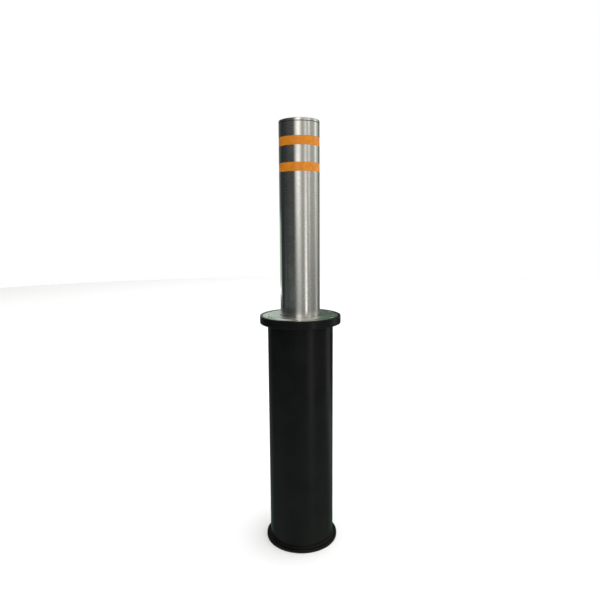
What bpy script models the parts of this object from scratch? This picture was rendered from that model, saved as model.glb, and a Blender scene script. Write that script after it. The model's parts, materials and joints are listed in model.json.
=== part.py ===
"""Key-locked retractable bollard with a gas spring, in a buried casing.

Frame: origin at the centre of the base flange's underside, +Z up, raised and unlocked.
Units are metres. Every size below is set by itself, and the rest is worked out from them.
"""
import math

import bmesh
import bpy
from mathutils import Matrix, Vector

# ---------------------------------------------------------------- driving sizes
RISE = 0.800                 # how far the post stands out of the casing
POST_R = 0.084               # post tube, outside radius
POST_WALL = 0.006
CAP_T = 0.012                # head cap above the tube
CAP_ROUND = 0.004            # softened edge of the head cap
CAP_SPIGOT = 0.008

TAPE_W = 0.035               # reflective tapes
TAPE_T = 0.00055
TAPE_DROP = 0.069            # post top to the upper tape's top edge
TAPE_PITCH = 0.102
GROOVE_DEPTH = 0.001

BASE_T = 0.012               # casing
BASE_LIP = 0.017             # base flange outside the casing tube
CASING_WALL = 0.005
COLLAR_LIP = 0.033           # head collar outside the casing tube
COLLAR_H = 0.034
RIM_DEPTH = 0.010            # rim top to the seat of the cover plate
RIM_W = 0.011
LEDGE_T = 0.016

COVER_BAND_T = 0.0082        # cover plate: outer band, and the raised middle
COVER_RAISE = 0.0025
COVER_BORE_CLEAR = 0.0025
BAND_W = 0.0185
BEVEL_W = 0.004
COVER_SCREWS = 6
SCREW_R = 0.004
SCREW_HEAD_R = 0.008
SCREW_SUNK = 0.0004
SCREW_LEN = 0.021
HEX_R = 0.0029

BUSH_LEN = 0.1161            # guide bush and wiper
BUSH_WALL = 0.0192
BUSH_FLANGE_W = 0.0083
BUSH_FLANGE_T = 0.0094
WIPER_H = 0.0147
WIPER_W = 0.0133
WIPER_LIP_T = 0.004
WIPER_LIP_W = 0.0037

FOOT_T = 0.010               # post foot, shoes, rails and stops
FOOT_OVERHANG = 0.0308
FOOT_HOLE_IN = 0.024         # how far inside the post's radius the foot's hole lies
FOOT_SPIGOT = 0.005
SUMP = 0.041                 # from the base to the lowered foot
UPPER_BUFFER_H = 0.020
UPPER_BUFFER_W = 0.0155
BUFFER_R = 0.015
BUFFER_IN = 0.0228           # buffer centres inside the foot's radius
RAIL_D = 0.0124
RAIL_W = 0.008
SHOE_W = 0.032
SHOE_H = 0.020
SHOE_SCREW_R = 0.003
SHOE_HEAD_R = 0.005
SHOE_HEAD_H = 0.004

ROD_R = 0.007                # gas spring
PISTON_R = 0.0112
PISTON_H = 0.008
CYL_R = 0.014
CYL_WALL = 0.0023
CYL_END = 0.008
EYE_R = 0.011
EYE_W = 0.015
PIN_R = 0.006
EAR_T = 0.006
EAR_W = 0.024
CLEVIS_R = 0.021
CLEVIS_PLATE = 0.007
CLEVIS_ROOM = 0.0017         # eye to the clevis plate
STEM_R = 0.009
STEM_H = 0.012

SHAFT_X = 0.040              # lock
SHAFT_R = 0.005
BARREL_R = 0.014
BARREL_FLANGE_W = 0.003
BARREL_FLANGE_T = 0.004
KEY_HEX_R = 0.0065
KEY_DEPTH = 0.014
CRANK = 0.013
CRANK_PIN_R = 0.004
CAM_T = 0.006
BOLT_W = 0.018
BOLT_H = 0.017
YOKE_T = 0.0085
TIP_CLEAR = 0.0018
HOUSING_W = 0.056
HOUSING_WALL = 0.003
HOUSING_FLOOR = 0.0065
HOUSING_LID = 0.0032
STRIKE_W = 0.040
STRIKE_H = 0.044
COVER_T = 0.0025             # key cover
COVER_DISC_R = 0.0155
COVER_LUG_R = 0.008
PIVOT_Y = 0.024
RIVET_R = 0.003
RIVET_HEAD_R = 0.006
RIVET_HEAD_H = 0.002

DRAIN_R = 0.022              # drain in the base flange
DRAIN_AT = 0.080
STRAINER_R = 0.030
STRAINER_H = 0.020
STRAINER_T = 0.003

GAP = 0.0003                 # between faces that touch
RUN = 0.0005                 # between faces that slide
ROUND = 48                   # sides of the large turned pieces
SMALL = 24
TINY = 16

# ---------------------------------------------------------------- worked out: heights
FOOT_LOW = BASE_T + SUMP + RISE
FOOT_TOP = FOOT_LOW + FOOT_T
BUSH_LOW = FOOT_TOP + UPPER_BUFFER_H + 2 * GAP
SEAT = BUSH_LOW + BUSH_LEN + GAP
COLLAR_TOP = SEAT + RIM_DEPTH
LEDGE_LOW = SEAT - LEDGE_T
POST_TOP = COLLAR_TOP + RISE
TUBE_TOP = POST_TOP - CAP_T - GAP
CAP_LOW = POST_TOP - CAP_T - CAP_SPIGOT
COVER_LOW = SEAT + GAP
BAND_TOP = COVER_LOW + COVER_BAND_T
COVER_TOP = BAND_TOP + COVER_RAISE

# ---------------------------------------------------------------- worked out: radii
POST_IN = POST_R - POST_WALL
BOLT_THROW = 2 * CRANK * math.sin(math.radians(45))
FOOT_R = POST_R + FOOT_OVERHANG
FOOT_HOLE = POST_R - FOOT_HOLE_IN
CASING_IN = FOOT_R + BOLT_THROW + TIP_CLEAR
CASING_R = CASING_IN + CASING_WALL
COLLAR_R = CASING_R + COLLAR_LIP
BASE_R = CASING_R + BASE_LIP
RIM_IN = COLLAR_R - RIM_W
COVER_R = RIM_IN - RUN
SCREW_RING = COVER_R - BAND_W / 2
BUSH_BORE = POST_R + RUN
BUSH_R = BUSH_BORE + BUSH_WALL
RAIL_OUT = CASING_IN - 2 * GAP
RAIL_IN = RAIL_OUT - RAIL_D
BUFFER_RING = FOOT_R - BUFFER_IN
RAIL_ANGLES = (90, 210, 330)
BUFFER_ANGLES = (60, 180, 300)
DRAIN_ANGLE = 240
SHOE_IN = POST_R + RUN + UPPER_BUFFER_W + 0.0015
SHOE_SCREW_AT = SHOE_IN + SHOE_HEAD_R + 0.001
SHOE_HEAD_SEAT = FOOT_TOP + SHOE_H - SHOE_HEAD_H - 0.001

# ---------------------------------------------------------------- worked out: lock
HOUSING_TOP = FOOT_LOW - GAP - HOUSING_LID - GAP
BOLT_TOP = HOUSING_TOP - GAP - RUN
BOLT_LOW = BOLT_TOP - BOLT_H
YOKE_TOP = BOLT_LOW + YOKE_T
CAM_LOW = YOKE_TOP + RUN
CAM_TOP = CAM_LOW + CAM_T
HOUSING_LOW = BOLT_LOW - RUN - HOUSING_FLOOR
CAM_R = CRANK + CRANK_PIN_R + 0.001
BOLT_TIP = FOOT_R - TIP_CLEAR
SLOT_X = SHAFT_X - BOLT_THROW / 2
YOKE_IN = SLOT_X - CRANK_PIN_R - 0.003
BAR_IN = SHAFT_X + CAM_R + 2 * RUN + 0.002
YOKE_OUT = BAR_IN + 0.005
ROOM_OUT = YOKE_OUT + BOLT_THROW + 2 * RUN
HOUSING_IN = min(YOKE_IN, SHAFT_X - CAM_R) - RUN - HOUSING_WALL
HOUSING_OUT = BOLT_TIP - 0.005
HOUSING_SCREW_X = HOUSING_OUT - 0.009
HOUSING_SCREW_Y = (-HOUSING_W / 2 + 0.007, HOUSING_W / 2 - 0.007)
SHAFT_TOP = CAP_LOW - GAP - BARREL_FLANGE_T - GAP

# ---------------------------------------------------------------- worked out: gas spring
LOW_PLATE_TOP = BASE_T + GAP + CLEVIS_PLATE
LOW_PIN_Z = LOW_PLATE_TOP + CLEVIS_ROOM + EYE_R
LOW_STEM_TOP = LOW_PIN_Z + EYE_R + STEM_H
TOP_PLATE_LOW = CAP_LOW - GAP - CLEVIS_PLATE
TOP_PIN_Z = TOP_PLATE_LOW - CLEVIS_ROOM - EYE_R
CYL_TOP = TOP_PIN_Z - EYE_R - 0.007
CYL_LOW = FOOT_TOP + 0.022
PISTON_LOW = CYL_LOW + CYL_END + 0.005

# ---------------------------------------------------------------- materials
COLOURS = {
    "brushed_stainless": ((0.60, 0.59, 0.57), 0.28, 1.0),
    "black_coat": ((0.012, 0.013, 0.012), 0.38, 0.0),
    "orange_tape": ((0.80, 0.24, 0.02), 0.30, 0.0),
    "zinc_steel": ((0.52, 0.53, 0.54), 0.38, 1.0),
    "chromed_rod": ((0.80, 0.80, 0.80), 0.08, 1.0),
    "black_rubber": ((0.020, 0.020, 0.020), 0.80, 0.0),
    "ivory_polymer": ((0.62, 0.58, 0.48), 0.45, 0.0),
    "brass": ((0.72, 0.50, 0.20), 0.30, 1.0),
}


def material(name):
    """The Principled material of that name, made once."""
    found = bpy.data.materials.get(name)
    if found:
        return found
    colour, roughness, metallic = COLOURS[name]
    made = bpy.data.materials.new(name)
    made.use_nodes = True
    shader = made.node_tree.nodes["Principled BSDF"]
    shader.inputs["Base Color"].default_value = (*colour, 1.0)
    shader.inputs["Roughness"].default_value = roughness
    shader.inputs["Metallic"].default_value = metallic
    made.diffuse_color = (*colour, 1.0)
    return made


# ---------------------------------------------------------------- modelling helpers
def add_object(name, mesh, finish=None, group="retractable_bollard"):
    """Links a new object and gives it its material."""
    obj = bpy.data.objects.new(name, mesh)
    bpy.data.collections[group].objects.link(obj)
    if finish:
        mesh.materials.append(material(finish))
    if group == "cutters":
        obj.hide_render = True
        obj.display_type = "WIRE"
    return obj


def turned(name, points, finish=None, sides=ROUND, at=(0.0, 0.0), group="retractable_bollard"):
    """A turned shape from (radius, height) points that run down its outer side.

    A profile that starts and ends on the axis is open, and any other one is closed.
    """
    mesh = bpy.data.meshes.new(name)
    verts = [(r, 0.0, z) for r, z in points]
    edges = [(i, i + 1) for i in range(len(points) - 1)]
    if points[0][0] > 0.0:
        edges.append((len(points) - 1, 0))
    mesh.from_pydata(verts, edges, [])
    obj = add_object(name, mesh, finish, group)
    obj.location = (at[0], at[1], 0.0)
    screw = obj.modifiers.new("Turn", "SCREW")
    screw.steps = sides
    screw.render_steps = sides
    screw.use_merge_vertices = True
    screw.merge_threshold = 0.00001
    screw.use_smooth_shade = True
    return obj


def rod(name, radius, low, high, finish=None, sides=SMALL, at=(0.0, 0.0),
        group="retractable_bollard"):
    """An upright solid cylinder between two heights."""
    points = [(0.0, high), (radius, high), (radius, low), (0.0, low)]
    return turned(name, points, finish, sides, at, group)


def ring(name, outer, inner, low, high, finish=None, sides=ROUND, group="retractable_bollard"):
    """A plain tube or washer between two heights."""
    points = [(outer, high), (outer, low), (inner, low), (inner, high)]
    return turned(name, points, finish, sides, group=group)


def box(name, low, high, finish=None, group="retractable_bollard"):
    """A block between two opposite corners."""
    mesh = bpy.data.meshes.new(name)
    low = Vector(low)
    high = Vector(high)
    size = Matrix.Diagonal((*(high - low), 1.0))
    shape = bmesh.new()
    bmesh.ops.create_cube(shape, size=1.0, matrix=Matrix.Translation((low + high) / 2) @ size)
    shape.to_mesh(mesh)
    shape.free()
    return add_object(name, mesh, finish, group)


def cross_bar(name, radius, half, height, finish=None, sides=SMALL, group="retractable_bollard"):
    """A cylinder along Y through the centre line, at a height."""
    mesh = bpy.data.meshes.new(name)
    shape = bmesh.new()
    place = Matrix.Translation((0.0, 0.0, height)) @ Matrix.Rotation(math.radians(90), 4, "X")
    bmesh.ops.create_cone(shape, cap_ends=True, segments=sides, radius1=radius, radius2=radius,
                          depth=2 * half, matrix=place)
    shape.to_mesh(mesh)
    shape.free()
    mesh.shade_smooth()
    mesh.set_sharp_from_angle(angle=math.radians(35))
    return add_object(name, mesh, finish, group)


def combine(obj, other, operation):
    """A Boolean on obj with another object from the cutters' collection."""
    step = obj.modifiers.new(operation.title(), "BOOLEAN")
    step.operation = operation
    step.object = other
    step.solver = "EXACT"


def cut(obj, other):
    combine(obj, other, "DIFFERENCE")


def join(obj, other):
    combine(obj, other, "UNION")


def polar_copies(obj, names, angles):
    """Turns one finished piece into copies around the centre line that share its mesh."""
    bpy.context.view_layer.update()
    seen = obj.evaluated_get(bpy.context.evaluated_depsgraph_get())
    mesh = bpy.data.meshes.new_from_object(seen)
    mesh.shade_smooth()
    mesh.set_sharp_from_angle(angle=math.radians(35))
    finish = obj.data.materials[0]
    mesh.materials.clear()
    mesh.materials.append(finish)
    mesh.transform(obj.matrix_world)
    tools = [step.object for step in obj.modifiers if step.type == "BOOLEAN"]
    bpy.data.objects.remove(obj)
    for tool in tools:
        bpy.data.objects.remove(tool)
    copies = []
    for name, angle in zip(names, angles):
        copy = bpy.data.objects.new(name, mesh)
        bpy.data.collections["retractable_bollard"].objects.link(copy)
        copy.rotation_euler[2] = math.radians(angle)
        copies.append(copy)
    return copies


def polar(radius, angle):
    """The point at a radius and an angle in degrees from +X."""
    turn = math.radians(angle)
    return (radius * math.cos(turn), radius * math.sin(turn))


def plate(name, outline, holes, low, high, finish):
    """A flat plate from an outline and round holes, as a filled 2D curve."""
    curve = bpy.data.curves.new(name, "CURVE")
    curve.dimensions = "2D"
    curve.fill_mode = "BOTH"
    curve.extrude = (high - low) / 2
    for points in [outline] + holes:
        spline = curve.splines.new("POLY")
        spline.points.add(len(points) - 1)
        for point, (x, y) in zip(spline.points, points):
            point.co = (x, y, 0.0, 1.0)
        spline.use_cyclic_u = True
    obj = bpy.data.objects.new(name, curve)
    bpy.data.collections["retractable_bollard"].objects.link(obj)
    curve.materials.append(material(finish))
    obj.location = (0.0, 0.0, (low + high) / 2)
    return obj


def arc(centre, radius, start, end, steps):
    """Points along an arc, with angles in degrees."""
    turns = [math.radians(start + (end - start) * i / steps) for i in range(steps + 1)]
    return [(centre[0] + radius * math.cos(t), centre[1] + radius * math.sin(t)) for t in turns]


def ride(objects, place):
    """Parents pieces to the empty on their joint's axis, without moving them."""
    for obj in objects:
        obj.parent = place
        obj.location = Vector(obj.location) - Vector(place.location)


# ---------------------------------------------------------------- casing
def make_base_flange():
    """Round base plate with an off-centre drain hole."""
    chamfer = 0.0015
    points = [(0.0, BASE_T), (BASE_R - chamfer, BASE_T), (BASE_R, BASE_T - chamfer), (BASE_R, 0.0),
              (0.0, 0.0)]
    flange = turned("base_flange", points, "black_coat")
    place = polar(DRAIN_AT, DRAIN_ANGLE)
    cut(flange, rod("drain_cut", DRAIN_R, -0.01, BASE_T + 0.01, sides=SMALL, at=place,
                    group="cutters"))
    return flange


def make_casing_tube():
    """The buried tube, from the base flange up into the collar's socket."""
    return ring("casing_tube", CASING_R, CASING_IN, BASE_T + GAP, LEDGE_LOW - GAP, "black_coat")


def make_head_collar():
    """Rim, seat and ledge that carry the cover plate and the guide bush."""
    edge = 0.0025
    low = COLLAR_TOP - COLLAR_H
    flange_seat = SEAT - GAP - BUSH_FLANGE_T - GAP
    counterbore = BUSH_R + BUSH_FLANGE_W + GAP
    points = [(RIM_IN + 0.001, COLLAR_TOP), (COLLAR_R - edge, COLLAR_TOP),
              (COLLAR_R, COLLAR_TOP - edge), (COLLAR_R, low + edge), (COLLAR_R - edge, low),
              (CASING_R + GAP, low), (CASING_R + GAP, LEDGE_LOW), (BUSH_R + GAP, LEDGE_LOW),
              (BUSH_R + GAP, flange_seat), (counterbore, flange_seat), (counterbore, SEAT),
              (RIM_IN, SEAT), (RIM_IN, COLLAR_TOP - 0.001)]
    collar = turned("head_collar", points, "black_coat")
    depth = SCREW_LEN - COVER_BAND_T + 0.002
    for i in range(COVER_SCREWS):
        place = polar(SCREW_RING, (i + 0.5) * 360 / COVER_SCREWS)
        cut(collar, rod(f"collar_tap_{i + 1}", SCREW_R + GAP, SEAT - depth, SEAT + 0.005,
                        sides=TINY, at=place, group="cutters"))
    return collar


def make_cover_plate():
    """Stainless ring around the post: a raised middle, a bevel and a screwed outer band."""
    edge = 0.001
    rise_r = COVER_R - BAND_W - BEVEL_W
    inner = POST_R + COVER_BORE_CLEAR
    points = [(rise_r, COVER_TOP), (COVER_R - BAND_W, BAND_TOP), (COVER_R - edge, BAND_TOP),
              (COVER_R, BAND_TOP - edge), (COVER_R, COVER_LOW), (inner, COVER_LOW),
              (inner, COVER_TOP - edge), (inner + edge, COVER_TOP)]
    cover = turned("cover_plate", points, "brushed_stainless")
    sink = SCREW_HEAD_R + SCREW_SUNK + 2 * GAP
    narrow = SCREW_R + GAP
    for i in range(COVER_SCREWS):
        place = polar(SCREW_RING, (i + 0.5) * 360 / COVER_SCREWS)
        profile = [(0.0, BAND_TOP + 0.004), (sink, BAND_TOP + 0.004), (sink, BAND_TOP),
                   (narrow, BAND_TOP - sink + narrow), (narrow, COVER_LOW - 0.004),
                   (0.0, COVER_LOW - 0.004)]
        cut(cover, turned(f"cover_sink_{i + 1}", profile, sides=TINY, at=place, group="cutters"))
    return cover


def make_cover_screws():
    """Countersunk socket screws through the cover plate's band."""
    top = BAND_TOP - SCREW_SUNK
    profile = [(0.0, top), (SCREW_HEAD_R, top), (SCREW_R, top - SCREW_HEAD_R + SCREW_R),
               (SCREW_R, top - SCREW_LEN), (0.0, top - SCREW_LEN)]
    screw = turned("cover_screw", profile, "zinc_steel", TINY, (SCREW_RING, 0.0))
    cut(screw, rod("screw_hex", HEX_R, top - 0.003, top + 0.002, sides=6, at=(SCREW_RING, 0.0),
                   group="cutters"))
    names = [f"cover_screw_{i + 1}" for i in range(COVER_SCREWS)]
    return polar_copies(screw, names, [(i + 0.5) * 360 / COVER_SCREWS for i in range(COVER_SCREWS)])


def make_guide_bush():
    """Long flanged bush in the collar that guides the post, bored wider at the top for the wiper."""
    top = SEAT - GAP
    flange = BUSH_R + BUSH_FLANGE_W
    wiper_bore = BUSH_BORE - RUN + WIPER_W + 2 * GAP
    points = [(flange, top), (flange, top - BUSH_FLANGE_T), (BUSH_R, top - BUSH_FLANGE_T),
              (BUSH_R, BUSH_LOW), (BUSH_BORE, BUSH_LOW), (BUSH_BORE, top - WIPER_H - GAP),
              (wiper_bore, top - WIPER_H - GAP), (wiper_bore, top)]
    return turned("guide_bush", points, "ivory_polymer")


def make_wiper_seal():
    """Rubber ring whose upper lip meets the post."""
    top = SEAT - GAP
    outer = POST_R + WIPER_W + GAP
    lip = POST_R + GAP
    body = lip + WIPER_LIP_W
    points = [(outer, top), (outer, top - WIPER_H), (body, top - WIPER_H),
              (body, top - 2 * WIPER_LIP_T), (lip, top - WIPER_LIP_T), (lip, top)]
    return turned("wiper_seal", points, "black_rubber")


def make_guide_rails():
    """Flat bars up the casing's wall that keep the post from turning."""
    rail = box("guide_rail", (RAIL_IN, -RAIL_W / 2, BASE_T + 2 * GAP),
               (RAIL_OUT, RAIL_W / 2, BUSH_LOW + 0.012), "zinc_steel")
    return polar_copies(rail, [f"guide_rail_{i + 1}" for i in range(3)], RAIL_ANGLES)


def make_lock_strike(name, lift):
    """Block on the casing's wall with a window for the bolt; lift is the post's height."""
    reach = math.sqrt((CASING_IN - 2 * GAP) ** 2 - (STRIKE_W / 2) ** 2) - GAP
    middle = (BOLT_LOW + BOLT_TOP) / 2 + lift
    low = max(middle - STRIKE_H / 2, BASE_T + GAP)
    strike = box(name, (FOOT_R + RUN, -STRIKE_W / 2, low),
                 (reach, STRIKE_W / 2, middle + STRIKE_H / 2), "zinc_steel")
    wide = BOLT_W / 2 + 0.0015
    tall = BOLT_H / 2 + 0.003
    cut(strike, box(name + "_window", (FOOT_R - 0.01, -wide, middle - tall),
                    (reach + 0.01, wide, middle + tall), group="cutters"))
    return strike


def make_lower_buffers():
    """Rubber stops that the lowered foot lands on."""
    low = BASE_T + GAP
    high = FOOT_LOW - RISE - GAP
    points = [(0.0, high), (BUFFER_R - 0.002, high), (BUFFER_R, high - 0.004), (BUFFER_R, low),
              (0.0, low)]
    buffer = turned("lower_buffer", points, "black_rubber", SMALL, (BUFFER_RING, 0.0))
    return polar_copies(buffer, [f"lower_buffer_{i + 1}" for i in range(3)], BUFFER_ANGLES)


def make_drain_strainer():
    """Perforated cup over the drain hole."""
    low = BASE_T + GAP
    high = low + STRAINER_H
    place = polar(DRAIN_AT, DRAIN_ANGLE)
    points = [(0.0, high), (STRAINER_R, high), (STRAINER_R, low), (STRAINER_R - STRAINER_T, low),
              (STRAINER_R - STRAINER_T, high - STRAINER_T), (0.0, high - STRAINER_T)]
    strainer = turned("drain_strainer", points, "zinc_steel", SMALL, place)
    for i in range(6):
        x, y = polar(STRAINER_R * 0.55, i * 60)
        cut(strainer, rod(f"strainer_hole_{i + 1}", STRAINER_R * 0.14, high - 2 * STRAINER_T,
                          high + 0.005, sides=8, at=(place[0] + x, place[1] + y),
                          group="cutters"))
    return strainer


# ---------------------------------------------------------------- gas spring
def make_clevis(name, plate_low, ear_end, pin_z):
    """Round plate with two bored ears that reach to ear_end."""
    clevis = rod(name, CLEVIS_R, plate_low, plate_low + CLEVIS_PLATE, "zinc_steel")
    ear_low = min(plate_low + CLEVIS_PLATE / 2, ear_end)
    ear_high = max(plate_low + CLEVIS_PLATE / 2, ear_end)
    inner = EYE_W / 2 + RUN
    for side, word in ((1, "front"), (-1, "rear")):
        ends = sorted((side * inner, side * (inner + EAR_T)))
        join(clevis, box(f"{name}_{word}", (-EAR_W / 2, ends[0], ear_low),
                         (EAR_W / 2, ends[1], ear_high), group="cutters"))
    cut(clevis, cross_bar(name + "_bore", PIN_R + GAP, CLEVIS_R + 0.01, pin_z, group="cutters"))
    return clevis


def make_eye(name, pin_z, stem_end):
    """Rod end: a bored hub along Y and an upright stem."""
    eye = cross_bar(name, EYE_R, EYE_W / 2, pin_z, "zinc_steel")
    low = min(pin_z, stem_end)
    high = max(pin_z, stem_end)
    join(eye, rod(name + "_stem", STEM_R * 0.8, low, high, sides=SMALL, group="cutters"))
    cut(eye, cross_bar(name + "_bore", PIN_R + GAP, EYE_W, pin_z, group="cutters"))
    return eye


def make_pin(name, pin_z):
    """Clevis pin."""
    return cross_bar(name, PIN_R, EYE_W / 2 + RUN + EAR_T + 0.002, pin_z, "zinc_steel")


def make_gas_spring_rod():
    """Piston rod on the base, with the piston on its upper end."""
    top = PISTON_LOW + PISTON_H
    low = LOW_STEM_TOP + GAP
    points = [(0.0, top), (PISTON_R, top), (PISTON_R, PISTON_LOW), (ROD_R, PISTON_LOW), (ROD_R, low),
              (0.0, low)]
    return turned("gas_spring_rod", points, "chromed_rod", SMALL)


def make_gas_spring_cylinder():
    """Cylinder in the post, open below around the rod."""
    bore = CYL_R - CYL_WALL
    points = [(0.0, CYL_TOP), (CYL_R, CYL_TOP), (CYL_R, CYL_LOW), (ROD_R + RUN, CYL_LOW),
              (ROD_R + RUN, CYL_LOW + CYL_END), (bore, CYL_LOW + CYL_END),
              (bore, CYL_TOP - CYL_END), (0.0, CYL_TOP - CYL_END)]
    return turned("gas_spring_cylinder", points, "black_coat", SMALL)


# ---------------------------------------------------------------- post
def make_post_tube():
    """Stainless tube with two shallow grooves for the tapes."""
    points = [(POST_R, TUBE_TOP)]
    for i in range(2):
        high = POST_TOP - TAPE_DROP - i * TAPE_PITCH + GAP
        low = high - TAPE_W - 2 * GAP
        points += [(POST_R, high), (POST_R - GROOVE_DEPTH, high), (POST_R - GROOVE_DEPTH, low),
                   (POST_R, low)]
    points += [(POST_R, FOOT_TOP + GAP), (POST_IN, FOOT_TOP + GAP), (POST_IN, TUBE_TOP)]
    return turned("post_tube", points, "brushed_stainless")


def make_tapes():
    """Orange reflective bands in the post's grooves."""
    inner = POST_R - GROOVE_DEPTH + GAP
    tapes = []
    for i, word in enumerate(("upper", "lower")):
        high = POST_TOP - TAPE_DROP - i * TAPE_PITCH
        tapes.append(ring(f"reflective_tape_{word}", inner + TAPE_T, inner, high - TAPE_W, high,
                          "orange_tape"))
    return tapes


def make_head_cap():
    """Rounded cap on the tube, with a hole for the lock barrel and one for the cover's rivet."""
    spigot = POST_IN - GAP
    bend = arc((POST_R - CAP_ROUND, POST_TOP - CAP_ROUND), CAP_ROUND, 90, 0, 6)
    joint = POST_TOP - CAP_T
    points = [(0.0, POST_TOP)] + bend + [(POST_R, joint), (spigot, joint), (spigot, CAP_LOW),
                                         (0.0, CAP_LOW)]
    cap = turned("head_cap", points, "brushed_stainless")
    cut(cap, rod("barrel_cut", BARREL_R + GAP, CAP_LOW - 0.01, POST_TOP + 0.01,
                 at=(SHAFT_X, 0.0), group="cutters"))
    cut(cap, rod("rivet_cut", RIVET_R + GAP, POST_TOP - 0.0083, POST_TOP + 0.01, sides=TINY,
                 at=(SHAFT_X, PIVOT_Y), group="cutters"))
    return cap


def make_post_foot():
    """Ring under the post that carries the shoes, the stops and the bolt housing."""
    spigot = POST_IN - GAP
    points = [(spigot, FOOT_TOP + FOOT_SPIGOT), (spigot, FOOT_TOP), (FOOT_R, FOOT_TOP),
              (FOOT_R, FOOT_LOW), (FOOT_HOLE, FOOT_LOW), (FOOT_HOLE, FOOT_TOP + FOOT_SPIGOT)]
    foot = turned("post_foot", points, "zinc_steel")
    for i, angle in enumerate(RAIL_ANGLES):
        cut(foot, rod(f"foot_tap_{i + 1}", SHOE_SCREW_R + GAP, FOOT_LOW - 0.005, FOOT_TOP + 0.005,
                      sides=TINY, at=polar(SHOE_SCREW_AT, angle), group="cutters"))
    for i, y in enumerate(HOUSING_SCREW_Y):
        cut(foot, rod(f"foot_bolt_{i + 1}", SHOE_SCREW_R + GAP, FOOT_LOW - 0.005, FOOT_TOP + 0.005,
                      sides=TINY, at=(HOUSING_SCREW_X, y), group="cutters"))
    return foot


def make_guide_shoes():
    """Nylon blocks on the foot, slotted over the guide rails."""
    low = FOOT_TOP + GAP
    shoe = box("guide_shoe", (SHOE_IN, -SHOE_W / 2, low),
               (RAIL_OUT - 0.003, SHOE_W / 2, low + SHOE_H - 2 * GAP), "ivory_polymer")
    cut(shoe, box("shoe_slot", (RAIL_IN - RUN, -RAIL_W / 2 - RUN, low - 0.01),
                  (RAIL_OUT + 0.01, RAIL_W / 2 + RUN, low + SHOE_H + 0.01), group="cutters"))
    cut(shoe, rod("shoe_hole", SHOE_SCREW_R + GAP, low - 0.005, low + SHOE_H + 0.005, sides=TINY,
                  at=(SHOE_SCREW_AT, 0.0), group="cutters"))
    cut(shoe, rod("shoe_sink", SHOE_HEAD_R + 2 * GAP, SHOE_HEAD_SEAT - GAP, low + SHOE_H + 0.006,
                  sides=TINY, at=(SHOE_SCREW_AT, 0.0), group="cutters"))
    return polar_copies(shoe, [f"guide_shoe_{i + 1}" for i in range(3)], RAIL_ANGLES)


def make_shoe_screws():
    """Cap screws, sunk into the shoes, that hold them on the foot."""
    seat = SHOE_HEAD_SEAT
    profile = [(0.0, seat + SHOE_HEAD_H), (SHOE_HEAD_R, seat + SHOE_HEAD_H), (SHOE_HEAD_R, seat),
               (SHOE_SCREW_R, seat), (SHOE_SCREW_R, FOOT_LOW + 0.001), (0.0, FOOT_LOW + 0.001)]
    screw = turned("shoe_screw", profile, "zinc_steel", TINY, (SHOE_SCREW_AT, 0.0))
    return polar_copies(screw, [f"shoe_screw_{i + 1}" for i in range(3)], RAIL_ANGLES)


def make_upper_buffer():
    """Rubber ring on the foot that stops the post under the guide bush."""
    low = FOOT_TOP + GAP
    return ring("upper_buffer", POST_R + RUN + UPPER_BUFFER_W, POST_R + RUN, low,
                low + UPPER_BUFFER_H, "black_rubber")


def make_shaft_guide_plate():
    """Disc half way up the post that steadies the cylinder and the lock shaft."""
    middle = (FOOT_TOP + POST_TOP) / 2
    disc = rod("shaft_guide_plate", POST_IN - GAP, middle, middle + 0.006, "zinc_steel", ROUND)
    cut(disc, rod("cylinder_hole", CYL_R + RUN, middle - 0.01, middle + 0.02, group="cutters"))
    cut(disc, rod("shaft_hole", SHAFT_R + GAP, middle - 0.01, middle + 0.02, sides=TINY,
                  at=(SHAFT_X, 0.0), group="cutters"))
    return disc


def make_bolt_housing():
    """Trough under the foot that holds the bolt, open at the top and slotted at its outer end."""
    half = HOUSING_W / 2
    housing = box("bolt_housing", (HOUSING_IN, -half, HOUSING_LOW), (HOUSING_OUT, half, HOUSING_TOP),
                  "zinc_steel")
    floor = HOUSING_LOW + HOUSING_FLOOR
    room = half - HOUSING_WALL
    cut(housing, box("housing_room", (HOUSING_IN + HOUSING_WALL, -room, floor),
                     (ROOM_OUT, room, HOUSING_TOP + 0.01), group="cutters"))
    slot = BOLT_W / 2 + RUN
    cut(housing, box("housing_slot", (ROOM_OUT - 0.005, -slot, floor),
                     (HOUSING_OUT + 0.01, slot, HOUSING_TOP + 0.01), group="cutters"))
    for i, y in enumerate(HOUSING_SCREW_Y):
        cut(housing, rod(f"housing_hole_{i + 1}", SHOE_SCREW_R + GAP, HOUSING_LOW - 0.01,
                         HOUSING_TOP + 0.01, sides=TINY, at=(HOUSING_SCREW_X, y),
                         group="cutters"))
    return housing


def make_housing_lid():
    """Plate between the trough and the foot, bored for the lock shaft."""
    half = HOUSING_W / 2
    outline = [(HOUSING_IN, -half), (HOUSING_OUT, -half), (HOUSING_OUT, half), (HOUSING_IN, half)]
    holes = [arc((SHAFT_X, 0.0), SHAFT_R + GAP, 0, 345, TINY - 1)]
    for y in HOUSING_SCREW_Y:
        holes.append(arc((HOUSING_SCREW_X, y), SHOE_SCREW_R + GAP, 0, 337.5, TINY - 1))
    return plate("housing_lid", outline, holes, FOOT_LOW - GAP - HOUSING_LID, FOOT_LOW - GAP,
                 "zinc_steel")


def make_housing_screws():
    """Cap screws up through the housing and its lid into the foot."""
    seat = HOUSING_LOW - GAP
    screws = []
    for i, y in enumerate(HOUSING_SCREW_Y):
        profile = [(0.0, FOOT_TOP - 0.001), (SHOE_SCREW_R, FOOT_TOP - 0.001), (SHOE_SCREW_R, seat),
                   (SHOE_HEAD_R, seat), (SHOE_HEAD_R, seat - SHOE_HEAD_H), (0.0, seat - SHOE_HEAD_H)]
        screws.append(turned(f"housing_screw_{i + 1}", profile, "zinc_steel", TINY,
                             (HOUSING_SCREW_X, y)))
    return screws


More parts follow.
